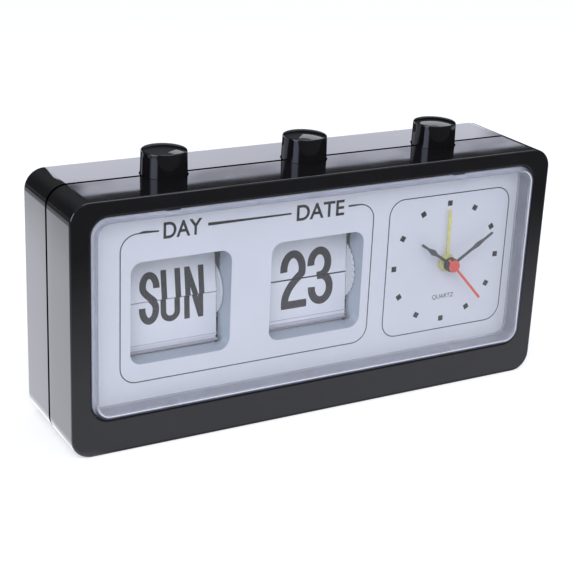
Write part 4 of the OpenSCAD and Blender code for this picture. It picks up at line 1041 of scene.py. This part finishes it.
class CLOCK_OT_dial(bpy.types.Operator):
    """Finish the dial and print its frames, labels and hour marks"""

    bl_idname = "flip_clock.dial"
    bl_label = "Dial print"

    def rounded(self, edges, r):
        """A frame's four corners, clockwise from the top right."""
        left, right, foot, top = (edge * MM for edge in edges)
        return [
            arc((right - r, top - r), r, r, 90, 0, 10),
            arc((right - r, foot + r), r, r, 0, -90, 10),
            arc((left + r, foot + r), r, r, -90, -180, 10),
            arc((left + r, top - r), r, r, 180, 90, 10),
        ]

    def frames(self, sizes, ink):
        """Two rounded frames, the left one open at its labels."""
        mesh = bmesh.new()
        top = LEFT_FRAME[3] * MM
        start, end = ([(x * MM, top)] for x in THIN_LINE_ENDS)
        add_stroke(mesh, joined(start, *self.rounded(LEFT_FRAME, sizes.line_corner), end), sizes.line)
        for points in THICK_LINES:
            add_plate(mesh, [(x * MM, top + level * sizes.line / 2) for x, level in points])
        add_stroke(mesh, joined(*self.rounded(RIGHT_FRAME, sizes.line_corner)), sizes.line, True)
        thickened(mesh)
        place = Matrix.Translation((0, DIAL_FRONT, LENS_MIDDLE.z))
        finish_piece("dial_frames", mesh, place, ink, "case")

    def word(self, name, text, ink, middle, width, height, heavier):
        """A word in plain capitals, fitted to its width and height."""
        curve = bpy.data.curves.new(name, "FONT")
        curve.body = text
        curve.extrude = DRAFT_DEPTH
        curve.offset = heavier
        draft = put(name + "_draft", curve)
        graph = bpy.context.evaluated_depsgraph_get()
        data = bpy.data.meshes.new_from_object(draft.evaluated_get(graph))
        bpy.data.objects.remove(draft)
        bpy.data.curves.remove(curve)
        mesh = bmesh.new()
        mesh.from_mesh(data)
        bpy.data.meshes.remove(data)
        bmesh.ops.remove_doubles(mesh, verts=mesh.verts[:], dist=DRAFT_MERGE)
        xs = [v.co.x for v in mesh.verts]
        ys = [v.co.y for v in mesh.verts]
        for v in mesh.verts:
            across = (v.co.x - (min(xs) + max(xs)) / 2) / (max(xs) - min(xs)) * width
            up = (v.co.y - (min(ys) + max(ys)) / 2) / (max(ys) - min(ys)) * height
            y = -PRINT_PROUD if v.co.z > 0 else PRINT_SUNK
            v.co = (middle[0] * MM + across, y, middle[1] * MM + up)
        bmesh.ops.recalc_face_normals(mesh, faces=mesh.faces[:])
        finish_piece(name, mesh, Matrix.Translation((0, DIAL_FRONT, LENS_MIDDLE.z)), ink, "case")

    def marks(self, sizes, ink):
        """Square hour marks set round the clock by Geometry Nodes."""
        tree = bpy.data.node_groups.new("hour_marks", "GeometryNodeTree")
        tree.interface.new_socket("Geometry", in_out="OUTPUT", socket_type="NodeSocketGeometry")
        middle = (CLOCK_MIDDLE.x, DIAL_FRONT + (PRINT_SUNK - PRINT_PROUD) / 2, CLOCK_MIDDLE.z)
        wanted = {
            "Count": ("NodeSocketInt", sizes.mark_count),
            "Ring radius": ("NodeSocketFloat", sizes.mark_r),
            "Mark": ("NodeSocketVector", (sizes.mark, sizes.mark, PRINT_PROUD + PRINT_SUNK)),
            "Middle": ("NodeSocketVector", middle),
            "Ink": ("NodeSocketMaterial", ink),
        }
        keys = {
            name: tree.interface.new_socket(name, in_out="INPUT", socket_type=kind).identifier
            for name, (kind, _value) in wanted.items()
        }

        def add(kind, **inputs):
            made = tree.nodes.new(kind)
            for key, value in inputs.items():
                socket = made.inputs[key]
                if isinstance(value, bpy.types.NodeSocket):
                    tree.links.new(value, socket)
                else:
                    socket.default_value = value
            return made

        given = tree.nodes.new("NodeGroupInput").outputs
        ring = add("GeometryNodeMeshCircle", Vertices=given["Count"], Radius=given["Ring radius"])
        mark = add("GeometryNodeMeshCube", Size=given["Mark"])
        outward = tree.nodes.new("GeometryNodeInputPosition")
        turn = add("FunctionNodeAlignRotationToVector", Vector=outward.outputs[0])
        turn.axis = "X"
        turn.pivot_axis = "Z"
        spread = add(
            "GeometryNodeInstanceOnPoints",
            Points=ring.outputs[0],
            Instance=mark.outputs[0],
            Rotation=turn.outputs[0],
        )
        real = add("GeometryNodeRealizeInstances", Geometry=spread.outputs[0])
        stand = add(
            "GeometryNodeTransform",
            Geometry=real.outputs[0],
            Translation=given["Middle"],
            Rotation=(math.pi / 2, 0, 0),
        )
        inked = add("GeometryNodeSetMaterial", Geometry=stand.outputs[0], Material=given["Ink"])
        out = tree.nodes.new("NodeGroupOutput")
        tree.links.new(inked.outputs[0], out.inputs[0])
        piece = put("hour_marks", bpy.data.meshes.new("hour_marks_seed"))
        rule = piece.modifiers.new("ring", "NODES")
        rule.node_group = tree
        for name, (_kind, value) in wanted.items():
            rule[keys[name]] = value
        graph = bpy.context.evaluated_depsgraph_get()
        data = bpy.data.meshes.new_from_object(piece.evaluated_get(graph))
        if len(data.polygons) != 6 * sizes.mark_count:
            raise RuntimeError("the ring of hour marks came out wrong")
        piece.modifiers.clear()
        piece.data = data
        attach(piece, "case")

    def execute(self, context):
        sizes = context.scene.clock_print
        colours = context.scene.clock_colours
        dress(dial_plastic("dial_white", colours.dial_white, colours.rim_shade_grey), "dial_plate")
        ink = print_ink("dial_ink", colours.label_grey)
        self.frames(sizes, ink)
        high = sizes.label_h
        self.word("day_label", "DAY", ink, (-49.0, 24.55), 13.1 * MM, high, LABEL_WEIGHT)
        self.word("date_label", "DATE", ink, (0.05, 24.5), 17.8 * MM, high, LABEL_WEIGHT)
        self.word("quartz_label", "QUARTZ", ink, (51.45, -13.15), 8.9 * MM, 1.9 * MM, 0.0)
        self.marks(sizes, ink)
        return {"FINISHED"}


class CLOCK_OT_leaves(bpy.types.Operator):
    """Print the day and the date on their leaves"""

    bl_idname = "flip_clock.leaves"
    bl_label = "Leaf print"

    def print_unit(self, unit, inks, words, boxes, height, below, stroke, gap, slip, edges):
        """Prints both halves of what shows now and next, and painted shade: lines and a foot band that
        stand for the edges of the fallen leaves.
        """
        ink, edge_shade_ink = inks
        pin = joint_place(unit + "_flap_fall")
        axis = joint_place(unit + "_drum_turn")
        arm = pin.z - axis.z
        start, up, out, half = leaf_place(unit + "_flap", pin, axis)
        step = math.radians(joints[unit + "_drum_turn"]["range_deg"][1])
        fall = math.radians(joints[unit + "_flap_fall"]["range_deg"][1])
        lean = math.pi + math.atan2(up.y, up.z) - step - fall
        rest_up = Vector((0, math.sin(lean), math.cos(lean)))
        rest_out = Vector((0, -rest_up.z, rest_up.y))
        low_pin = Vector((pin.x + slip, pin.y, 2 * axis.z - pin.z))
        standing = face_matrix(start, up, out, half)
        hanging = face_matrix(low_pin + rest_up * arm, rest_up, rest_out, half)
        back = face_matrix(start, -up, -out, half)
        waiting = spin_about(axis, -2 * step) @ standing
        now, after = (
            [(letter, left * MM, width * MM) for letter, (left, width) in zip(word, box)]
            for word, box in zip(words, boxes)
        )
        faces = (
            ("_upper", now, True, standing, "_flap"),
            ("_lower", now, False, hanging, "_drum"),
            ("_next_upper", after, True, waiting, "_drum"),
            ("_next_lower", after, False, back, "_flap"),
        )
        for ending, cells, upper, place, body in faces:
            mesh = half_word(cells, upper, height, below, stroke, gap)
            finish_piece(unit + ending, mesh, place, ink, unit + body)
        # Painted shade: lines and a foot band where the edges of the fallen leaves show
        low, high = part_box(unit + "_flap")
        reach = (high.x - low.x) / 2 - LEAF_SIDE_GAP
        foot = -arm - (high.z - low.z) - LEAF_FOOT_SHADE_BAND
        lines = [(-edge * MM, LEAF_EDGE_SHADE_LINE) for edge in edges]
        mesh = bmesh.new()
        for z, width in (*lines, (foot, LEAF_FOOT_SHADE_BAND)):
            add_stroke(mesh, [(-reach - slip, z), (reach - slip, z)], width)
        thickened(mesh)
        finish_piece(unit + "_leaf_edge_shade_lines", mesh, hanging, edge_shade_ink, unit + "_drum")

    def execute(self, context):
        sizes = context.scene.clock_print
        ink = print_ink("leaf_ink", context.scene.clock_colours.print_grey)
        # Lavender grey print that paints the shade of the fallen leaves' edges
        edge_shade_ink = print_ink("painted_leaf_edge_shade", (0.5, 0.49, 0.58))
        self.print_unit(
            "day",
            (ink, edge_shade_ink),
            words=(sizes.day_now, sizes.day_next),
            boxes=(FIRST_DAY_CELLS, NEXT_DAY_CELLS),
            height=17.3 * MM,
            below=7.7 * MM,
            stroke=sizes.day_stroke,
            gap=0.12 * MM,
            slip=-0.4 * MM,
            edges=(14.2, 16.2),
        )
        self.print_unit(
            "date",
            (ink, edge_shade_ink),
            words=(sizes.date_now, sizes.date_next),
            boxes=(DATE_CELLS, DATE_CELLS),
            height=20.3 * MM,
            below=10.2 * MM,
            stroke=sizes.date_stroke,
            gap=0.4 * MM,
            slip=0.3 * MM,
            edges=(13.7, 15.0, 16.3),
        )
        return {"FINISHED"}


class CLOCK_OT_stage(bpy.types.Operator):
    """Set up the floor, the light and the camera"""

    bl_idname = "flip_clock.stage"
    bl_label = "Stage"

    def set_piece(self, name, data, material):
        """A piece of the set, which isn't part of the clock."""
        data.materials.append(material)
        made = put(name, data)
        return made

    def sheet(self, name, corners, material):
        data = bpy.data.meshes.new(name)
        data.from_pydata(corners, [], [(0, 1, 2, 3)])
        return self.set_piece(name, data, material)

    def only_gloss(self, made):
        """Hides a piece of the set from all but reflections."""
        made.visible_camera = False
        made.visible_diffuse = False
        made.visible_transmission = False
        made.visible_shadow = False
        made.visible_volume_scatter = False

    def card(self, name, corners, strength, tint=(0.97, 0.98, 1.07, 1.0)):
        """A studio card that only shows in gloss. Its strength, from its finish, is a wire or a number."""
        f = new_finish(name)
        self.only_gloss(self.sheet(name, corners, f.end(f.emit(tint, strength(f)))))

    def upright(self, y, x0, x1, z0, z1):
        return [(x0, y, z0), (x1, y, z0), (x1, y, z1), (x0, y, z1)]

    def level(self, z, x0, x1, y0, y1):
        return [(x0, y0, z), (x1, y0, z), (x1, y1, z), (x0, y1, z)]

    def strip(self, f):
        """Even light that the back of the case's top shows."""
        x = f.along("X")
        return x.rise(-0.07, 0.03, 2.3, 1.95) * x.rise(0.095, 0.112, 1.0, 0.35)

    def streaks(self, f):
        """Broken light that the front of the case's top shows."""
        patches = f.noise(38.0, 3.0, (1.0, 1.0, 6.0)).rise(0.38, 0.62)
        x = f.along("X")
        ends = x.rise(-0.067, -0.06, 0.3, 1.15) * x.rise(-0.045, -0.03, 1.0, 0.85)
        return ends * (1.1 + patches * 0.4)

    def window_light(self, f):
        """Soft upright light that the buttons show at their left."""
        y = f.along("Y")
        return y.rise(-0.62, -0.4) * (1 - y.rise(-0.1, 0.12)) * 5.0

    def floor_tones(self, f):
        """Lit paper close to the clock, in front, to the left and behind, and a dark room further off."""
        x, y = f.along("X"), f.along("Y")
        front = y.rise(-0.2, -0.04, 0.0, 0.88) * (1 - y.rise(-0.021, -0.019))
        aside = 1 - (x + y.most(0.02) * 0.3).rise(-0.083, -0.06)
        left = aside * x.rise(-0.205, -0.135, 0.6, 2.0) * x.rise(-0.3, -0.24)
        shell = (y + (x + 0.088) * 2.79).rise(-0.002, 0.002, 0.84, 1.0)
        side = left * y.rise(-0.03, -0.02) * shell
        behind = y.rise(0.0195, 0.0215) * y.rise(0.04, 0.2, 0.8, 0.0)
        return 0.12 + front.most(side).most(behind)

    def room(self):
        """Dark walls and ceiling round the set, which only show in gloss."""
        f = new_finish("room_dark")
        dim = f.end(f.emit(self.tint, 0.05 + f.along("Z").rise(0.5, 1.9) * 0.4))
        mesh = bmesh.new()
        bmesh.ops.create_uvsphere(mesh, u_segments=32, v_segments=16, radius=ROOM_RADIUS)
        data = bpy.data.meshes.new("room")
        mesh.to_mesh(data)
        mesh.free()
        self.only_gloss(self.set_piece("room", data, dim))

    def floor(self):
        """White floor that stays white to the camera and keeps the clock's shadow."""
        f = new_finish("floor_white")
        glow = f.emit(WHITE, f.background_rays() * 0.55)
        white = f.end(f.node("AddShader", inputs={0: f.matt((0.8, 0.8, 0.8, 1.0)), 1: glow}))
        corners = self.level(-FLOOR_DROP, -FLOOR_REACH, FLOOR_REACH, -FLOOR_REACH, FLOOR_REACH)
        self.sheet("floor", corners, white)

    def lamp(self, name, place, size, power):
        data = bpy.data.lights.new(name, "AREA")
        data.size = size
        data.energy = power
        data.color = self.tint[:3]
        lamp = put(name, data)
        lamp.location = place
        lamp.rotation_euler = (Vector(LAMP_AIM) - Vector(place)).to_track_quat("-Z", "Y").to_euler()
        lamp.visible_glossy = False

    def camera(self, stage):
        data = bpy.data.cameras.new("camera")
        data.sensor_width = 36.0
        data.lens = stage.lens
        data.clip_start = 0.01
        data.clip_end = 20.0
        flat = math.cos(stage.drop)
        away = Vector((math.sin(stage.azimuth) * flat, math.cos(stage.azimuth) * flat, 0))
        away.z = -math.sin(stage.drop)
        level = away.cross(Vector((0, 0, 1))).normalized()
        rise = level.cross(away)
        right = level * math.cos(stage.roll) + rise * math.sin(stage.roll)
        turn = Matrix((right, right.cross(away), -away)).transposed()
        camera = put("camera", data)
        camera.matrix_world = Matrix.Translation(Vector(stage.eye)) @ turn.to_4x4()
        bpy.context.scene.camera = camera

    def world(self, ambient):
        """White to the camera and in gloss, dimmer and cool as a light."""
        world = bpy.data.worlds.new("studio")
        world.use_nodes = True
        f = Finish(world.node_tree)
        seen = f.background_rays()
        colour = f.mix(seen, self.tint, WHITE)
        level = seen * (1.0 - ambient) + ambient
        f.end(f.node("Background", inputs={"Color": colour, "Strength": level}), "OutputWorld")
        bpy.context.scene.world = world

    def cards(self):
        """Cards that the gloss of the case and the buttons shows."""
        strip = self.upright(STRIP_Y, x0=-0.0757, x1=0.112, z0=0.0836, z1=0.0946)
        self.card("strip_card", strip, self.strip, (0.95, 0.97, 1.11, 1.0))
        streaks = self.upright(STRIP_Y, x0=-0.07, x1=0.125, z0=0.0946, z1=0.0994)
        self.card("streak_card", streaks, self.streaks, (0.94, 0.965, 1.14, 1.0))
        floor = self.level(0.5 * MM, x0=-1.5, x1=1.5, y0=-1.5, y1=1.5)
        self.card("floor_card", floor, self.floor_tones)
        over = self.level(1.2, x0=-0.3, x1=0.5, y0=-0.3, y1=0.3)
        self.card("over_card", over, lambda f: 3.0)
        left = [(-0.8, -0.62, 0.1), (-0.8, 0.12, 0.1), (-0.8, 0.12, 0.6), (-0.8, -0.62, 0.6)]
        self.card("left_card", left, self.window_light, (0.88, 0.94, 1.25, 1.0))
        back = [(0.45, 0.8, 0.55), (0.85, 0.55, 0.55), (0.75, 0.5, 0.8), (0.35, 0.75, 0.8)]
        self.card("back_card", back, lambda f: 2.2)

    def execute(self, context):
        stage = context.scene.clock_stage
        self.tint = tone(stage.tint)
        context.scene.view_settings.view_transform = "Standard"
        self.camera(stage)
        self.world(stage.ambient)
        self.floor()
        self.lamp("key_lamp", (-0.55, -0.85, 0.9), 0.8, stage.key)
        self.lamp("fill_lamp", (0.9, -0.6, 0.7), 1.0, stage.fill)
        self.room()
        self.cards()
        return {"FINISHED"}


class CLOCK_PT_looks(bpy.types.Panel):
    """Looks of the flip clock"""

    bl_label = "Flip clock"
    bl_space_type = "VIEW_3D"
    bl_region_type = "UI"
    bl_category = "Flip clock"

    def draw(self, context):
        for group in (context.scene.clock_print, context.scene.clock_colours, context.scene.clock_stage):
            box = self.layout.box()
            for name in group.__annotations__:
                box.prop(group, name)
        for operator in OPERATORS:
            self.layout.operator(operator.bl_idname)


GROUPS = (ClockPrint, ClockColours, ClockStage)
OPERATORS = (
    CLOCK_OT_stage,
    CLOCK_OT_case,
    CLOCK_OT_back,
    CLOCK_OT_works,
    CLOCK_OT_dial,
    CLOCK_OT_leaves,
    CLOCK_OT_lens,
)
CLASSES = (*GROUPS, *OPERATORS, CLOCK_PT_looks)


def register():
    for made in CLASSES:
        bpy.utils.register_class(made)
    bpy.types.Scene.clock_print = PointerProperty(type=ClockPrint)
    bpy.types.Scene.clock_colours = PointerProperty(type=ClockColours)
    bpy.types.Scene.clock_stage = PointerProperty(type=ClockStage)


def unregister():
    del bpy.types.Scene.clock_stage
    del bpy.types.Scene.clock_colours
    del bpy.types.Scene.clock_print
    for made in reversed(CLASSES):
        bpy.utils.unregister_class(made)


def main():
    register()
    bpy.ops.flip_clock.stage()
    bpy.ops.flip_clock.case()
    bpy.ops.flip_clock.back()
    bpy.ops.flip_clock.works()
    bpy.ops.flip_clock.dial()
    bpy.ops.flip_clock.leaves()
    bpy.ops.flip_clock.lens()


if __name__ == "__main__":
    main()
